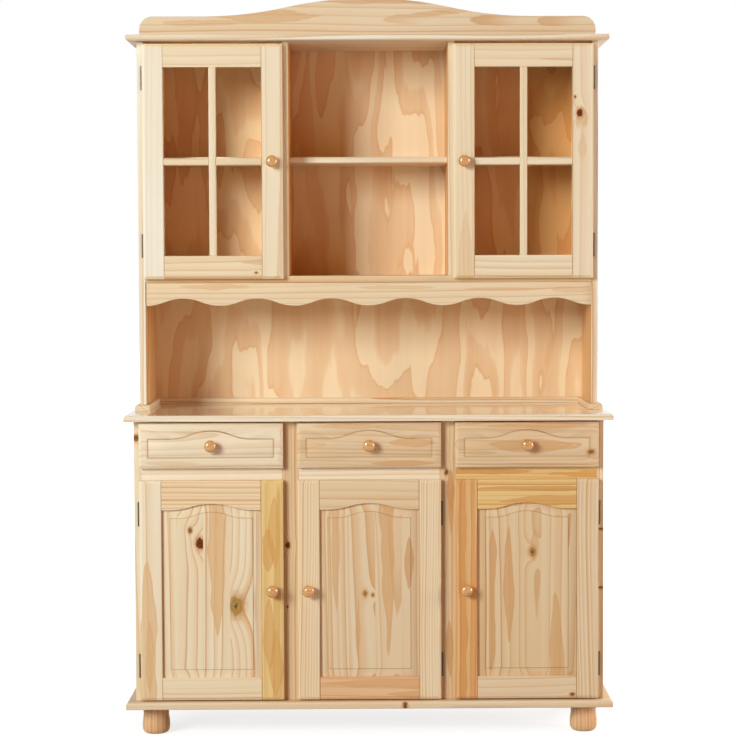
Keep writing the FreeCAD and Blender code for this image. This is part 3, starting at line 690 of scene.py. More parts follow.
def pine(name, centre, grain, tone, figure, painted_shade_tint=None, shift=None, joint_and_shade_line=None, glossy=False):
    """Pine for one board, with the knots and tongues that mark it and the dark line along its inner edge: a
    joint line where it meets the next, and painted shadow along the panel or glass.
    """
    material, graph = new_material(name)
    look = finish()
    tint = Vector(TONES[tone])
    # A further tint of painted shade, for cut faces
    if painted_shade_tint is not None:
        tint = tint * Vector(TONES[painted_shade_tint])
    place = board_place(graph, centre, grain)
    seed = seed_of(name)
    staves = {"Stave": look.plank_width, "Shift": 0.5}
    if figure in GLUED:
        staves = {"Stave": look.stave_width, "Shift": seed if shift is None else shift}
    settings = {"Seed": seed, "Tone": opaque(tint), **staves, **FIGURES[figure]}
    wood = add_group(graph, pine_group, place, settings)
    colour = wood.outputs["Color"]
    bulge = 0.0
    for mark in MARKS.get(name, ()):
        made = add_group(graph, mark["group"], place, {**staves, **mark["shape"]}).outputs
        if mark["group"] is knot_group:
            bulge = graph.plus(made["Bulge"], bulge)
            colour = graph.blend(made["Cover"], colour, made["Color"])
        else:
            fill = Vector(look.tan_wood).lerp(Vector(look.late_wood), mark["deep"]) * tint
            filled = graph.blend(mark["share"], colour, opaque(fill))
            rim = graph.times(made["Edge"], TONGUE_RIM_SHARE * mark["share"])
            filled = graph.blend(rim, filled, opaque(look.late_wood))
            colour = graph.blend(made["Cover"], colour, filled)
    graph.feed(wood.inputs["Bulge"], bulge)
    # Dark line along the inner edge: a joint line at the rails, painted shadow along the panel or glass
    if joint_and_shade_line is not None:
        away = graph.math("ABSOLUTE", graph.minus(graph.split(place)[0], joint_and_shade_line))
        near = graph.math("LESS_THAN", away, look.seam_width)
        colour = graph.blend(near, colour, opaque(TONES["joint_and_shade_line"]), mode="MULTIPLY")
    if glossy:
        lacquered(graph, wood, colour, look.top_roughness, GLOSSY_SHINE, 1.0)
    else:
        lacquered(graph, wood, colour, look.lacquer_roughness, SATIN_SHINE, 0.0)
    return material


def veneer(name, centre, foot):
    """Veneer with painted shade: inside, the part to the right of the shade edge and above the foot is
    darker.
    """
    material, graph = new_material(name)
    look = finish()
    settings = {
        "Seed": seed_of(name),
        "Shade Edge": look.veneer_joint,
        "Foot": foot - centre.z,
        "Tone": opaque(TONES["painted_shade_sheet"]),
    }
    wood = add_group(graph, veneer_group, board_place(graph, centre, "upright"), settings)
    lacquered(graph, wood, wood.outputs["Color"], look.lacquer_roughness, VENEER_SHINE, 0.0)
    return material


def pick(*pieces):
    """Selects these pieces and nothing else."""
    bpy.ops.object.select_all(action="DESELECT")
    for piece in pieces:
        piece.select_set(True)
    bpy.context.view_layer.objects.active = pieces[0]


def solid_runs(mesh):
    """First and last face of each solid in a node: a solid ends where every edge has met its partner."""
    corners = {}
    waiting = set()
    runs = []
    start = 0
    for face in mesh.polygons:
        points = []
        for index in face.vertices:
            place = tuple(round(length, CORNER_DIGITS) for length in mesh.vertices[index].co)
            points.append(corners.setdefault(place, len(corners)))
        for edge in zip(points, points[1:] + points[:1]):
            if edge[::-1] in waiting:
                waiting.remove(edge[::-1])
            elif edge[0] != edge[1]:
                waiting.add(edge)
        if not waiting:
            runs.append((start, face.index))
            start = face.index + 1
    return runs


def corners_of(points):
    """Lowest and highest corner of the box round some points."""
    low = Vector(min(point[axis] for point in points) for axis in range(3))
    high = Vector(max(point[axis] for point in points) for axis in range(3))
    return low, high


def middle_of(piece):
    low, high = corners_of([vertex.co for vertex in piece.data.vertices])
    return (low + high) / 2


def left_to_right(piece):
    middle = middle_of(piece)
    return [round(length, ORDER_DIGITS) for length in (middle.x, middle.z, middle.y)]


def copies_of(node, whole_faces=True):
    """A copy of each solid in a node, from left to right and then upwards, in whole flat faces."""
    source = NODES[node]
    pick(source)
    bpy.ops.object.duplicate()
    whole = bpy.context.view_layer.objects.active
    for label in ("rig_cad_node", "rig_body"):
        del whole[label]
    copies = [whole]
    bpy.context.tool_settings.mesh_select_mode = (False, False, True)
    for start, end in reversed(solid_runs(whole.data)[1:]):
        for face in whole.data.polygons:
            face.select = start <= face.index <= end
        pick(whole)
        bpy.ops.object.mode_set(mode="EDIT")
        bpy.ops.mesh.separate(type="SELECTED")
        bpy.ops.object.mode_set(mode="OBJECT")
        copies += [piece for piece in bpy.context.selected_objects if piece is not whole]
    for piece in copies:
        pick(piece)
        bpy.ops.object.mode_set(mode="EDIT")
        bpy.ops.mesh.select_all(action="SELECT")
        bpy.ops.mesh.delete_loose()
        bpy.ops.mesh.select_all(action="SELECT")
        bpy.ops.mesh.remove_doubles(threshold=WELD_GAP)
        if whole_faces:
            bpy.ops.mesh.dissolve_limited(angle_limit=FLAT_ANGLE)
        bpy.ops.object.mode_set(mode="OBJECT")
    return sorted(copies, key=left_to_right)


def apply_modifiers(piece):
    pick(piece)
    for modifier in list(piece.modifiers):
        bpy.ops.object.modifier_apply(modifier=modifier.name)


def ease_edges(piece):
    """Rounds a board's sharp edges over a little and smooths the shading of its curves."""
    bevel = piece.modifiers.new("ease", "BEVEL")
    bevel.width = finish().edge_ease
    bevel.segments = 2
    bevel.limit_method = "ANGLE"
    bevel.angle_limit = EDGE_ANGLE
    apply_modifiers(piece)
    bpy.ops.object.shade_smooth_by_angle(angle=CURVE_ANGLE)


def coat(piece, material):
    """Gives a piece this material and no other."""
    piece.data.materials.clear()
    piece.data.materials.append(material)


def settle(piece, name, node, material):
    """Names a finished piece, gives it its material and seats it on its node's body."""
    piece.name = name
    piece.data.name = name
    coat(piece, material)
    body = NODES[node]["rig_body"]
    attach(piece, body)
    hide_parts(node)


def clad(piece, node, label, look, cut=None, is_cut=None, joint_and_shade_line=None):
    """Settles one board in its own pine. Its cut faces get the same pine with some settings changed: a darker
    tint of painted shade, which on door bevels is partly end grain.
    """
    name = node + "_" + label
    middle = middle_of(piece)
    settle(piece, name, node, pine(name, middle, joint_and_shade_line=joint_and_shade_line, **look))
    if cut is None:
        return
    shaded_pine = pine(name, middle, **{**look, **cut})
    shaded_pine.name = name + "_cut"
    piece.data.materials.append(shaded_pine)
    front = min(vertex.co.y for vertex in piece.data.vertices)
    for face in piece.data.polygons:
        if is_cut(face, face.center.y - front):
            face.material_index = 1


def plank(grain, tone="honey", figure="mixed", **more):
    """How a board looks: the way its grain runs, its tone, its figure and what else sets it apart."""
    return {"grain": grain, "tone": tone, "figure": figure, **more}


def dress(node, cut=None, is_cut=None, **boards):
    """Dresses a node's boards, which are given by name from left to right and then upwards."""
    for piece, (label, look) in zip(copies_of(node), boards.items(), strict=True):
        ease_edges(piece)
        clad(piece, node, label, look, cut, is_cut)


def knot(across, along, radius, dark=0.0):
    """A knot at a place from the board's middle."""
    return {"group": knot_group, "shape": {"Across": across, "Along": along, "Radius": radius, "Dark": dark}}


def tongue(across, along, width, length, reach=2.0, deep=0.0, share=0.7, ragged=0.12, fade=0.1):
    """A tongue with its point at along. It runs along the grain, or against it if length is below zero."""
    shape = {
        "Across": across, "Along": along, "Width": width, "Length": length,
        "Reach": reach, "Ragged": ragged, "Fade": fade,
    }
    return {"group": tongue_group, "shape": shape, "deep": deep, "share": share}


# Knots and tongues of the boards that show some, each drawn over the ones before it
MARKS = {
    "plinth_board": (knot(-0.215, 0.095, 0.004, 0.6),),
    "base_side_left_board": (knot(-0.2, 0.335, 0.006, 0.6),),
    "base_side_right_board": (knot(-0.2, 0.083, 0.0022, 0.2), knot(-0.2, -0.077, 0.0022, 0.2)),
    "base_stiles_left": (knot(-0.008, 0.043, 0.007, 1.0), knot(-0.01, -0.125, 0.003, 0.7)),
    "base_stiles_right": (
        tongue(0.009, 0.25, 0.012, -0.05, 0.12, 0.6),
        knot(-0.004, 0.239, 0.006, 0.7),
        tongue(0.008, 0.065, 0.009, 0.06, 0.13, 0.3),
        tongue(0.004, -0.16, 0.011, -0.06, 0.16, 0.3),
    ),
    "drawer_rails_right": (
        tongue(0.004, 0.02, 0.009, -0.12, deep=0.5, ragged=0.6),
        tongue(-0.004, 0.05, 0.01, 0.1, deep=0.2, ragged=0.6),
    ),
    "crown_board": (
        tongue(0.004, -0.12, 0.021, -0.16, 0.32, 0.1, 0.5, 0.7),
        tongue(-0.014, -0.33, 0.012, -0.08, 0.24, 0.0, 0.35, 0.8),
        tongue(-0.006, 0.038, 0.014, 0.04, 0.14, 0.1, 0.45, 1.2, 3.0),
        tongue(0.004, 0.06, 0.005, 0.06, 0.15, 0.1, 0.4, 0.4),
        tongue(0.01, 0.11, 0.006, 0.06, 0.15, 0.1, 0.45, 0.4),
        tongue(0.017, 0.17, 0.007, 0.05, 0.14, 0.1, 0.45, 0.4),
        tongue(0.04, -0.15, 0.004, 0.1, 0.4, 0.5, 0.5),
        tongue(0.046, -0.1, 0.003, 0.1, 0.3, 0.6, 0.5),
        tongue(-0.008, 0.28, 0.015, 0.035, 0.15, 0.2, 0.7, 1.2, 3.5),
        tongue(-0.011, 0.465, 0.013, 0.02, 0.13, 0.15, 0.6, 1.2, 5.0),
    ),
    "valance_board": (
        tongue(0.02, -0.32, 0.01, -0.08, 0.2, share=0.45, ragged=0.6),
        tongue(0.018, -0.03, 0.006, 0.06, 0.22, share=0.4, ragged=0.6),
        tongue(0.012, 0.26, 0.007, 0.08, 0.24, share=0.4, ragged=0.6),
        tongue(0.01, 0.5, 0.008, 0.05, 0.14, share=0.4, ragged=0.6),
    ),
    "drawer_left_front_board": (tongue(-0.048, -0.02, 0.007, -0.06, 0.16, share=0.4),),
    "drawer_centre_front_board": (
        tongue(0.006, 0.05, 0.016, 0.06, 0.13, share=0.6),
        tongue(0.0, -0.11, 0.018, -0.06, share=0.35),
        tongue(-0.05, 0.0, 0.008, 0.06, 0.18, share=0.6),
        tongue(0.05, -0.16, 0.007, 0.06, 0.2, share=0.5),
    ),
    "drawer_right_front_board": (
        tongue(0.0, -0.11, 0.019, 0.1, 0.24, share=0.6),
        tongue(-0.02, -0.19, 0.006, 0.05, 0.12, share=0.6),
        knot(-0.02, 0.172, 0.007, 0.35),
        tongue(0.05, 0.18, 0.008, -0.1, 0.3, share=0.5),
        tongue(0.058, -0.2, 0.003, 0.05, 0.4, 0.5, 0.6),
        tongue(-0.054, -0.2, 0.003, 0.05, 0.4, 0.5, 0.6),
    ),
    "base_door_left_frame_left_stile": (
        tongue(-0.009, 0.085, 0.024, -0.14),
        tongue(-0.004, -0.08, 0.013, -0.07, 0.2, 0.3, 0.5),
    ),
    "base_door_left_frame_right_stile": (
        tongue(0.007, 0.257, 0.017, -0.08, 0.2, 0.0, 0.55),
        tongue(-0.012, 0.17, 0.016, -0.04, 0.12, 0.4, 0.5, 0.3),
        tongue(-0.008, -0.02, 0.016, -0.08, 0.2, 0.3, 0.5),
        tongue(0.008, -0.1, 0.02, -0.07, 0.19, 0.2, 0.5, 0.3),
    ),
    "base_door_left_panel_board": (
        knot(-0.031, 0.129, 0.012, 1.0),
        knot(-0.057, 0.165, 0.006, 0.5),
        knot(0.065, -0.042, 0.02),
        tongue(0.0137, -0.13, 0.021, 0.1),
    ),
    "base_door_centre_frame_low_rail": (
        tongue(0.012, -0.14, 0.012, 0.1, 0.4, 0.1, 0.4),
        tongue(-0.016, 0.04, 0.012, 0.1, 0.3, 0.2, 0.4),
    ),
    "base_door_centre_panel_board": (
        knot(-0.012, -0.009, 0.006, 0.2),
        knot(0.009, -0.013, 0.004, 0.25),
        tongue(0.051, -0.184, 0.019, 0.26),
        tongue(-0.03, -0.19, 0.008, 0.08, 0.18, share=0.6),
        tongue(-0.09, -0.07, 0.012, 0.2, share=0.6),
        tongue(0.105, 0.15, 0.012, -0.06, 0.15, 0.4),
    ),
    "base_door_right_frame_left_stile": (
        tongue(-0.01, -0.36, 0.011, 0.03, 0.74, 0.5, 0.5),
        tongue(0.017, -0.36, 0.008, 0.03, 0.74, 0.3, 0.4),
    ),
    "base_door_right_frame_low_rail": (knot(-0.019, 0.123, 0.005, 0.6),),
    "base_door_right_frame_top_rail": (
        tongue(0.016, -0.14, 0.007, 0.05, 0.3, 0.6, 0.6, 0.4),
        tongue(-0.018, -0.08, 0.016, 0.12, 2.0, 0.3, 0.6, 0.4),
    ),
    "base_door_right_panel_board": (
        tongue(-0.096, 0.17, 0.011, -0.06, 0.4, 0.2),
        tongue(-0.05, -0.153, 0.015, 0.12, 0.33, 0.1),
        tongue(0.02, 0.172, 0.013, -0.06, 0.1, 0.0, 0.5),
        knot(0.0147, 0.102, 0.009, 0.2),
        tongue(0.078, -0.004, 0.02, -0.14, share=0.6),
    ),
    "hutch_door_left_frame_low_rail": (
        tongue(0.014, 0.075, 0.008, 0.05, deep=0.2, share=0.5),
        knot(-0.014, 0.118, 0.003, 0.6),
    ),
    "hutch_door_right_frame_left_stile": (tongue(0.004, -0.125, 0.02, -0.14, 0.4, share=0.3),),
    "hutch_door_right_frame_top_rail": (tongue(-0.012, 0.02, 0.004, 0.06, deep=0.3, share=0.5),),
    "hutch_door_right_frame_right_stile": (
        tongue(-0.006, 0.149, 0.015, -0.02, 0.07, 0.1, 0.6, 0.5, 1.5),
        tongue(-0.002, 0.085, 0.016, -0.06, 0.1, 0.0, 0.35, 0.5, 0.8),
        knot(-0.009, 0.131, 0.009, 1.0),
        knot(-0.022, 0.175, 0.003, 0.8),
    ),
}


def is_border(face, sunk):
    """The step and the ledge round the field of a raised panel, which get painted shade."""
    return sunk < LEDGE_DEPTH and (sunk > STEP_DEPTH or face.normal.y > STEP_TURN)


def is_end_bevel(face, sunk):
    """The bevels along the top and the foot of a door frame: end grain on the stiles, and painted shade on
    all of them.
    """
    return face.normal.y < BEVEL_TURN and abs(face.normal.z) > BEVEL_RISE


def faces_left(face, sunk):
    return face.normal.x < -SIDEWAYS


def faces_right(face, sunk):
    return face.normal.x > SIDEWAYS


def faces_a_side(face, sunk):
    return abs(face.normal.x) > SIDEWAYS


def dress_front(node, look):
    """A drawer front. Its bevels are solid already, and the arched line cut into it gets painted shade."""
    (piece,) = copies_of(node, whole_faces=False)
    pick(piece)
    bpy.ops.object.shade_smooth_by_angle(angle=CURVE_ANGLE)
    reach = finish().line_reach
    low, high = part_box(node)

    # Faces of the arched line's groove, which get painted shade
    def is_line(face, sunk):
        place = face.center
        within = low.x + reach < place.x < high.x - reach and low.z + reach < place.z < high.z - reach
        return sunk > LINE_DEPTH and within and face.normal.y < LINE_TURN

    clad(piece, node, "board", look, {"tone": "painted_groove_shade"}, is_line)


def dress_frame(node, *looks, cut=None):
    """A door frame, from its left stile to its right one. A dark line runs along each stile's inner edge: a
    joint line at the rails and a painted shadow line along the panel or glass.
    """
    labels = ("left_stile", "low_rail", "top_rail", "right_stile")
    for piece, label, inner, look in zip(copies_of(node), labels, (1, 0, 0, -1), looks, strict=True):
        ease_edges(piece)
        half = max(vertex.co.x for vertex in piece.data.vertices) - middle_of(piece).x
        clad(piece, node, label, look, cut, is_end_bevel, inner * half if inner else None)


class DRESSER_OT_base(bpy.types.Operator):
    """Dress the base's boards"""

    bl_idname = "dresser.base"
    bl_label = "Base"

    def execute(self, context):
        dress("plinth", board=plank("flat", "tawny", "plain"))
        dress("worktop", board=plank("flat", "pale", glossy=True))
        for name in ("left", "right"):
            dress("base_side_" + name, board=plank("side"))
            dress("base_divider_" + name, board=plank("side"))
        stile = plank("upright", "dusky", "striped")
        dress("base_stiles", left=stile, right=stile)
        rail = plank("level", "pale", "plain")
        dress("drawer_rails", left=rail, middle=rail, right=plank("level", "straw", "striped"))
        strip = plank("deep", figure="plain")
        for node, count in (("drawer_runners", 10), ("shelf_cleats", 6)):
            dress(node, **{str(index): strip for index in range(count)})
        shelf = plank("flat")
        dress("base_shelves", left=shelf, middle=shelf, right=shelf)
        return {"FINISHED"}


class DRESSER_OT_hutch(bpy.types.Operator):
    """Dress the hutch's boards"""

    bl_idname = "dresser.hutch"
    bl_label = "Hutch"

    def execute(self, context):
        strip = plank("deep", figure="striped")
        dress("hutch_skirting", left=strip, rear=plank("level", figure="striped"), right=strip)
        # The inner faces of the hutch's sides and dividers get painted shade, which also darkens the shaded
        # backs
        for name, painted_shade_faces in (("left", faces_right), ("right", faces_left)):
            dress("hutch_side_" + name, {"painted_shade_tint": "inside"}, painted_shade_faces, board=plank("side", "cream"))
            dress("hutch_divider_" + name, {"painted_shade_tint": "inside"}, faces_a_side, board=plank("side"))
        dress("hutch_floor", board=plank("flat"))
        shelf = plank("flat", "pale")
        dress("hutch_shelves", left=shelf, middle=shelf, right=shelf)
        dress("cornice", board=plank("flat", "cream"))
        dress("crown", board=plank("level", "tawny", "plain"))
        dress("valance", board=plank("level", figure="plain"))
        return {"FINISHED"}


class DRESSER_OT_backs(bpy.types.Operator):
    """Dress the veneered back panels"""

    bl_idname = "dresser.backs"
    bl_label = "Back panels"

    def execute(self, context):
        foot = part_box("hutch_floor")[0].z
        for node in ("base_back", "hutch_back"):
            for piece in copies_of(node):
                name = node + "_panel"
                settle(piece, name, node, veneer(name, middle_of(piece), foot))
        return {"FINISHED"}


class DRESSER_OT_drawers(bpy.types.Operator):
    """Dress the three drawers"""

    bl_idname = "dresser.drawers"
    bl_label = "Drawers"

    def execute(self, context):
        wall = plank("deep", "pale")
        for name, tone in (("left", "pale"), ("centre", "tawny"), ("right", "tawny")):
            node = "drawer_" + name
            dress_front(node + "_front", plank("level", tone, "plain"))
            dress(
                node + "_box",
                left_wall=wall,
                bottom=plank("flat", "pale", "plain"),
                back_wall=plank("level", "pale"),
                right_wall=wall,
            )
        return {"FINISHED"}


class DRESSER_OT_panelled_doors(bpy.types.Operator):
    """Dress the three panelled doors of the base"""

    bl_idname = "dresser.panelled_doors"
    bl_label = "Panelled doors"

    def execute(self, context):
        frames = {
            "left": (
                plank("upright", "pale", "plain"),
                plank("level", "honey", "plain"),
                plank("level", "warm", "striped"),
                plank("upright", "straw", "plain"),
            ),
            "centre": (
                plank("upright", "honey", "quartered"),
                plank("level", "russet", "plain"),
                plank("level", "tawny", "plain"),
                plank("upright", "honey", "quartered"),
            ),
            "right": (
                plank("upright", "amber", "striped"),
                plank("level", "tawny", "plain"),
                plank("level", "golden", "striped"),
                plank("upright", "tawny", "quartered"),
            ),
        }
        panels = {
            "left": plank("upright", "honey", "calm", shift=0.31),
            "centre": plank("upright", "tawny", "calm", shift=0.782),
            "right": plank("upright", "dusky", "calm", shift=0.45),
        }
        for name, boards in frames.items():
            node = "base_door_" + name
            dress_frame(node + "_frame", *boards)
            # The step and ledge round each raised field get painted shade
            dress(node + "_panel", {"painted_shade_tint": "painted_border_shade"}, is_border, board=panels[name])
        return {"FINISHED"}


class DRESSER_OT_glazed_doors(bpy.types.Operator):
    """Dress the two glazed doors of the hutch"""

    bl_idname = "dresser.glazed_doors"
    bl_label = "Glazed doors"

    def execute(self, context):
        stile = plank("upright", figure="faint")
        rail = plank("level", figure="faint")
        low_rail = plank("level", figure="plain")
        frames = {
            "left": (plank("upright", "cream", "faint"), low_rail, rail, plank("upright", figure="plain")),
            "right": (stile, low_rail, rail, stile),
        }
        pane = self.glass()
        for name, boards in frames.items():
            node = "hutch_door_" + name
            # The top and foot bevels get a darker tint: end grain on the stiles, painted shade on all
            dress_frame(node + "_frame", *boards, cut={"painted_shade_tint": "end_grain_and_shade"})
            dress(node + "_bars", left_bar=rail, upright_bar=stile, right_bar=rail)
            dress(node + "_beads", left=stile, low=rail, top=rail, right=stile)
            coat(NODES[node + "_glass"], pane)
        return {"FINISHED"}

    def glass(self):
        """Clear thin glass that lets the lamps through."""
        material, graph = new_material("clear_glass")
        look = finish()
        glass = surface(graph, {
            "Base Color": opaque(look.glass_tint),
            "Roughness": look.glass_roughness,
            "Transmission Weight": 1.0,
            "IOR": look.glass_bend,
        })
        clear = graph.node("ShaderNodeBsdfTransparent")
        mixed = graph.node("ShaderNodeMixShader")
        graph.feed(mixed.inputs[0], graph.node("ShaderNodeLightPath").outputs["Is Shadow Ray"])
        graph.feed(mixed.inputs[1], glass)
        graph.feed(mixed.inputs[2], clear.outputs[0])
        graph.feed(graph.tree.nodes["Material Output"].inputs["Surface"], mixed.outputs[0])
        return material


def turning(low, high, axis, shares, rounds):
    """A turned piece: a disc drawn out along its axis, ring by ring, to shares of its radius and height."""
    radius = max(high[index] - low[index] for index in range(3) if index != axis) / 2
    seat = (low + high) / 2
    tip = Vector(seat)
    turn = (0, 0, 0)
    if axis == DEPTHWISE:
        seat.y, tip.y = high.y, low.y
        turn = (math.radians(90), 0, 0)
    else:
        seat.z, tip.z = low.z, high.z
    (width, height), *others = shares
    bpy.ops.object.select_all(action="DESELECT")
    bpy.ops.mesh.primitive_circle_add(
        vertices=rounds, radius=radius * width, fill_type="NGON", location=seat, rotation=turn
    )
    piece = bpy.context.object
    bpy.ops.object.transform_apply(location=True, rotation=True, scale=True)
    bpy.ops.object.mode_set(mode="EDIT")
    bpy.ops.mesh.select_mode(type="FACE")
    bpy.ops.mesh.select_all(action="SELECT")
    for new_width, new_height in others:
        step = (tip - seat) * (new_height - height)
        bpy.ops.mesh.extrude_region_move(TRANSFORM_OT_translate={"value": step})
        scale = [new_width / width] * 3
        scale[axis] = 1.0
        centre = seat + (tip - seat) * new_height
        bpy.ops.transform.resize(value=scale, center_override=centre)
        width, height = new_width, new_height
    bpy.ops.mesh.select_all(action="SELECT")
    bpy.ops.mesh.normals_make_consistent(inside=False)
    bpy.ops.object.mode_set(mode="OBJECT")
    bpy.ops.object.shade_smooth_by_angle(angle=TURNED_ANGLE)
    return piece


class DRESSER_OT_feet(bpy.types.Operator):
    """Turn the four feet"""

    bl_idname = "dresser.feet"
    bl_label = "Feet"

    rounds = 48
    shares = (
        (0.64, 0.0), (0.8, 0.015), (0.9, 0.055), (0.965, 0.12), (0.995, 0.21), (1.0, 0.3), (0.985, 0.42),
        (0.945, 0.56), (0.92, 0.68), (0.925, 0.76), (0.95, 0.86), (0.955, 0.93), (0.94, 1.0),
    )

    def execute(self, context):
        mesh = NODES["feet"].data
        for index, (first, last) in enumerate(solid_runs(mesh)):
            faces = mesh.polygons[first : last + 1]
            low, high = corners_of([mesh.vertices[corner].co for face in faces for corner in face.vertices])
            piece = turning(low, high, UPWARDS, self.shares, self.rounds)
            name = "foot_" + str(index)
            look = plank("upright", "russet", "striped")
            settle(piece, name, "feet", pine(name, middle_of(piece), **look))
        return {"FINISHED"}


class DRESSER_OT_knobs(bpy.types.Operator):
    """Turn the knobs of the drawers and doors"""

    bl_idname = "dresser.knobs"
    bl_label = "Knobs"

    rounds = 40
    shares = (
        (0.5, 0.0), (0.44, 0.06), (0.42, 0.14), (0.46, 0.21), (0.62, 0.28), (0.82, 0.37), (0.95, 0.48),
        (1.0, 0.6), (0.97, 0.72), (0.86, 0.84), (0.66, 0.93), (0.42, 0.985), (0.14, 1.0),
    )

    def execute(self, context):
        for node in sorted(NODES):
            if node.endswith("_knob"):
                low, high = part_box(node)
                piece = turning(low, high, DEPTHWISE, self.shares, self.rounds)
                name = node + "_turned"
                look = plank("level", "toffee", "turned", glossy=True)
                settle(piece, name, node, pine(name, middle_of(piece), **look))
        return {"FINISHED"}


class DRESSER_OT_fittings(bpy.types.Operator):
    """Finish the hinges, pins, strike plates and catches"""

    bl_idname = "dresser.fittings"
    bl_label = "Fittings"

    def execute(self, context):
        bronze = self.worn("bronze", finish().bronze, metal=1.0, roughness=0.36)
        case = self.worn("catch_case", finish().catch_brown, metal=0.0, roughness=0.5)
        for node, piece in NODES.items():
            if node in ("hinge_frame_leaves", "hinge_pins") or node.endswith("_fittings"):
                coat(piece, bronze)
        coat(NODES["door_catches"], case)
        return {"FINISHED"}

    def worn(self, name, colour, metal, roughness):
        """A finish with fine cloudy wear."""
        material, graph = new_material(name)
        place = graph.node("ShaderNodeTexCoord").outputs["Object"]
        wear = graph.noise(place, METAL_WEAR, detail=4.0)
        lighter = [min(1.0, part * WEAR_LIGHTENING) for part in colour]
        surface(graph, {
            "Base Color": graph.blend(graph.ease(wear, *WEAR_SPOTS), opaque(colour), opaque(lighter)),
            "Roughness": graph.times_plus(wear, WEAR_ROUGHENING, roughness),
            "Metallic": metal,
        })
        return material


def seen_straight(graph):
    """One for a ray from the camera, also by way of gloss or glass, and zero once it has lit something."""
    light = graph.node("ShaderNodeLightPath").outputs
    seen = graph.plus(light["Is Camera Ray"], light["Is Glossy Ray"])
    seen = graph.plus(seen, light["Is Transmission Ray"], clamp=True)
    return graph.times(seen, graph.math("LESS_THAN", light["Diffuse Depth"], 0.5))


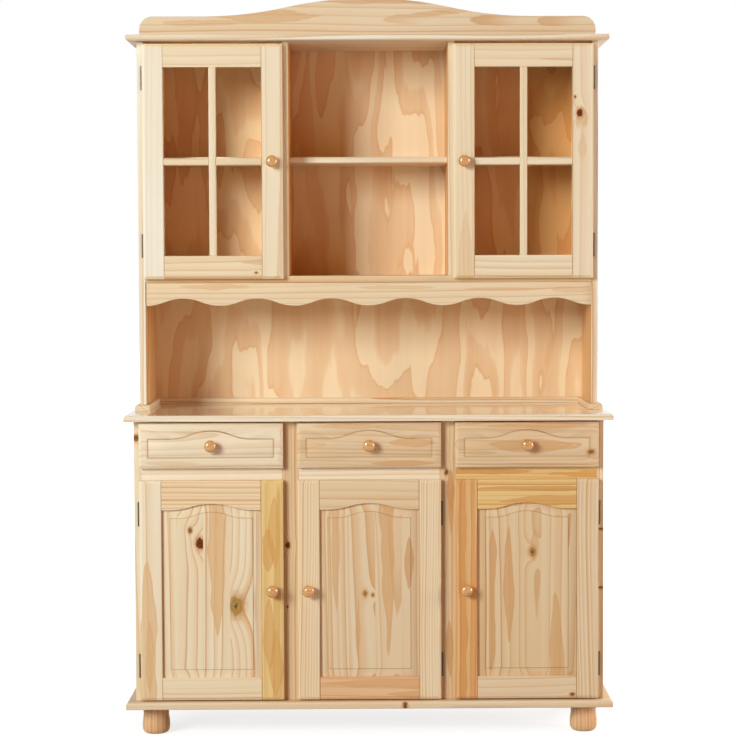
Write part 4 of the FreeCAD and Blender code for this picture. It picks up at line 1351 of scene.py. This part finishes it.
class DRESSER_OT_stage(bpy.types.Operator):
    """Set the floor, the light and the camera"""

    bl_idname = "dresser.stage"
    bl_label = "Stage"

    def execute(self, context):
        self.floor()
        self.surround()
        stage = context.scene.dresser_stage
        self.lamp("key", stage.key_place, stage.key_size, stage.key_power).color = stage.key_colour
        self.lamp("fill", stage.fill_place, stage.fill_size, stage.fill_power).color = stage.fill_colour
        self.lamp("side", stage.side_place, stage.side_size, stage.side_power)
        self.lamp("rear", stage.rear_place, stage.rear_size, stage.rear_power)
        self.camera()
        context.scene.view_settings.view_transform = "Standard"
        return {"FINISHED"}

    def floor(self):
        bpy.ops.object.select_all(action="DESELECT")
        stage = bpy.context.scene.dresser_stage
        bpy.ops.mesh.primitive_plane_add(size=stage.floor_size)
        floor = bpy.context.object
        floor.name = "floor"
        material, graph = new_material("floor")
        lit = surface(graph, {"Base Color": opaque(stage.floor_grey), "Roughness": stage.floor_roughness})
        place = graph.node("ShaderNodeTexCoord").outputs["Object"]
        away = graph.node("ShaderNodeVectorMath", operation="LENGTH")
        graph.feed(away.inputs[0], place)
        far = graph.ease(away.outputs["Value"], stage.floor_near, stage.floor_far)
        lift = graph.times_plus(far, 1.0 - stage.floor_lift, stage.floor_lift)
        glow = graph.node("ShaderNodeEmission")
        graph.feed(glow.inputs["Strength"], graph.times(lift, seen_straight(graph)))
        both = graph.node("ShaderNodeAddShader")
        graph.feed(both.inputs[0], lit)
        graph.feed(both.inputs[1], glow.outputs[0])
        graph.feed(graph.tree.nodes["Material Output"].inputs["Surface"], both.outputs[0])
        floor.data.materials.append(material)

    def surround(self):
        world = bpy.data.worlds.new("surround")
        bpy.context.scene.world = world
        world.use_nodes = True
        graph = Graph(world.node_tree)
        stage = bpy.context.scene.dresser_stage
        dim = [part * stage.ambient for part in stage.ambient_colour]
        colour = graph.blend(seen_straight(graph), opaque(dim), opaque(WHITE))
        back = world.node_tree.nodes["Background"]
        graph.feed(back.inputs["Color"], colour)

    def lamp(self, name, place, size, power):
        data = bpy.data.lights.new(name, "AREA")
        data.shape = "RECTANGLE"
        data.size, data.size_y = size
        data.energy = power
        lamp = bpy.data.objects.new(name, data)
        bpy.context.scene.collection.objects.link(lamp)
        target = (cad_low + cad_high) / 2
        lamp.location = place
        lamp.rotation_euler = (target - Vector(place)).to_track_quat("-Z", "Y").to_euler()
        return data

    def camera(self):
        stage = bpy.context.scene.dresser_stage
        data = bpy.data.cameras.new("camera")
        data.sensor_width = stage.sensor
        data.lens = stage.lens
        data.shift_x, data.shift_y = stage.frame_shift
        camera = bpy.data.objects.new("camera", data)
        bpy.context.scene.collection.objects.link(camera)
        level = math.cos(stage.camera_pitch)
        east, north = math.sin(stage.camera_yaw), math.cos(stage.camera_yaw)
        ahead = Vector((east * level, north * level, math.sin(stage.camera_pitch)))
        right = Vector((north, -east, 0))
        turn = Matrix.Rotation(-stage.camera_roll, 3, ahead)
        right = turn @ right
        up = right.cross(ahead)
        matrix = Matrix((right, up, -ahead)).transposed().to_4x4()
        matrix.translation = stage.camera_place
        camera.matrix_world = matrix
        bpy.context.scene.camera = camera


OPERATORS = (
    DRESSER_OT_base,
    DRESSER_OT_hutch,
    DRESSER_OT_backs,
    DRESSER_OT_drawers,
    DRESSER_OT_panelled_doors,
    DRESSER_OT_glazed_doors,
    DRESSER_OT_feet,
    DRESSER_OT_knobs,
    DRESSER_OT_fittings,
    DRESSER_OT_stage,
)


class DRESSER_PT_looks(bpy.types.Panel):
    """The dresser's steps, finishes and stage"""

    bl_idname = "DRESSER_PT_looks"
    bl_label = "Dresser"
    bl_space_type = "VIEW_3D"
    bl_region_type = "UI"
    bl_category = "Dresser"

    def draw(self, context):
        for operator in OPERATORS:
            self.layout.operator(operator.bl_idname)
        for group in (context.scene.dresser_finish, context.scene.dresser_stage):
            for name in group.__annotations__:
                self.layout.prop(group, name)


CLASSES = (DresserFinish, DresserStage, *OPERATORS, DRESSER_PT_looks)


def register():
    for kind in CLASSES:
        bpy.utils.register_class(kind)
    bpy.types.Scene.dresser_finish = PointerProperty(type=DresserFinish)
    bpy.types.Scene.dresser_stage = PointerProperty(type=DresserStage)


def unregister():
    del bpy.types.Scene.dresser_stage
    del bpy.types.Scene.dresser_finish
    for kind in reversed(CLASSES):
        bpy.utils.unregister_class(kind)


def main():
    register()
    bpy.ops.dresser.base()
    bpy.ops.dresser.hutch()
    bpy.ops.dresser.backs()
    bpy.ops.dresser.drawers()
    bpy.ops.dresser.panelled_doors()
    bpy.ops.dresser.glazed_doors()
    bpy.ops.dresser.feet()
    bpy.ops.dresser.knobs()
    bpy.ops.dresser.fittings()
    bpy.ops.dresser.stage()


if __name__ == "__main__":
    main()
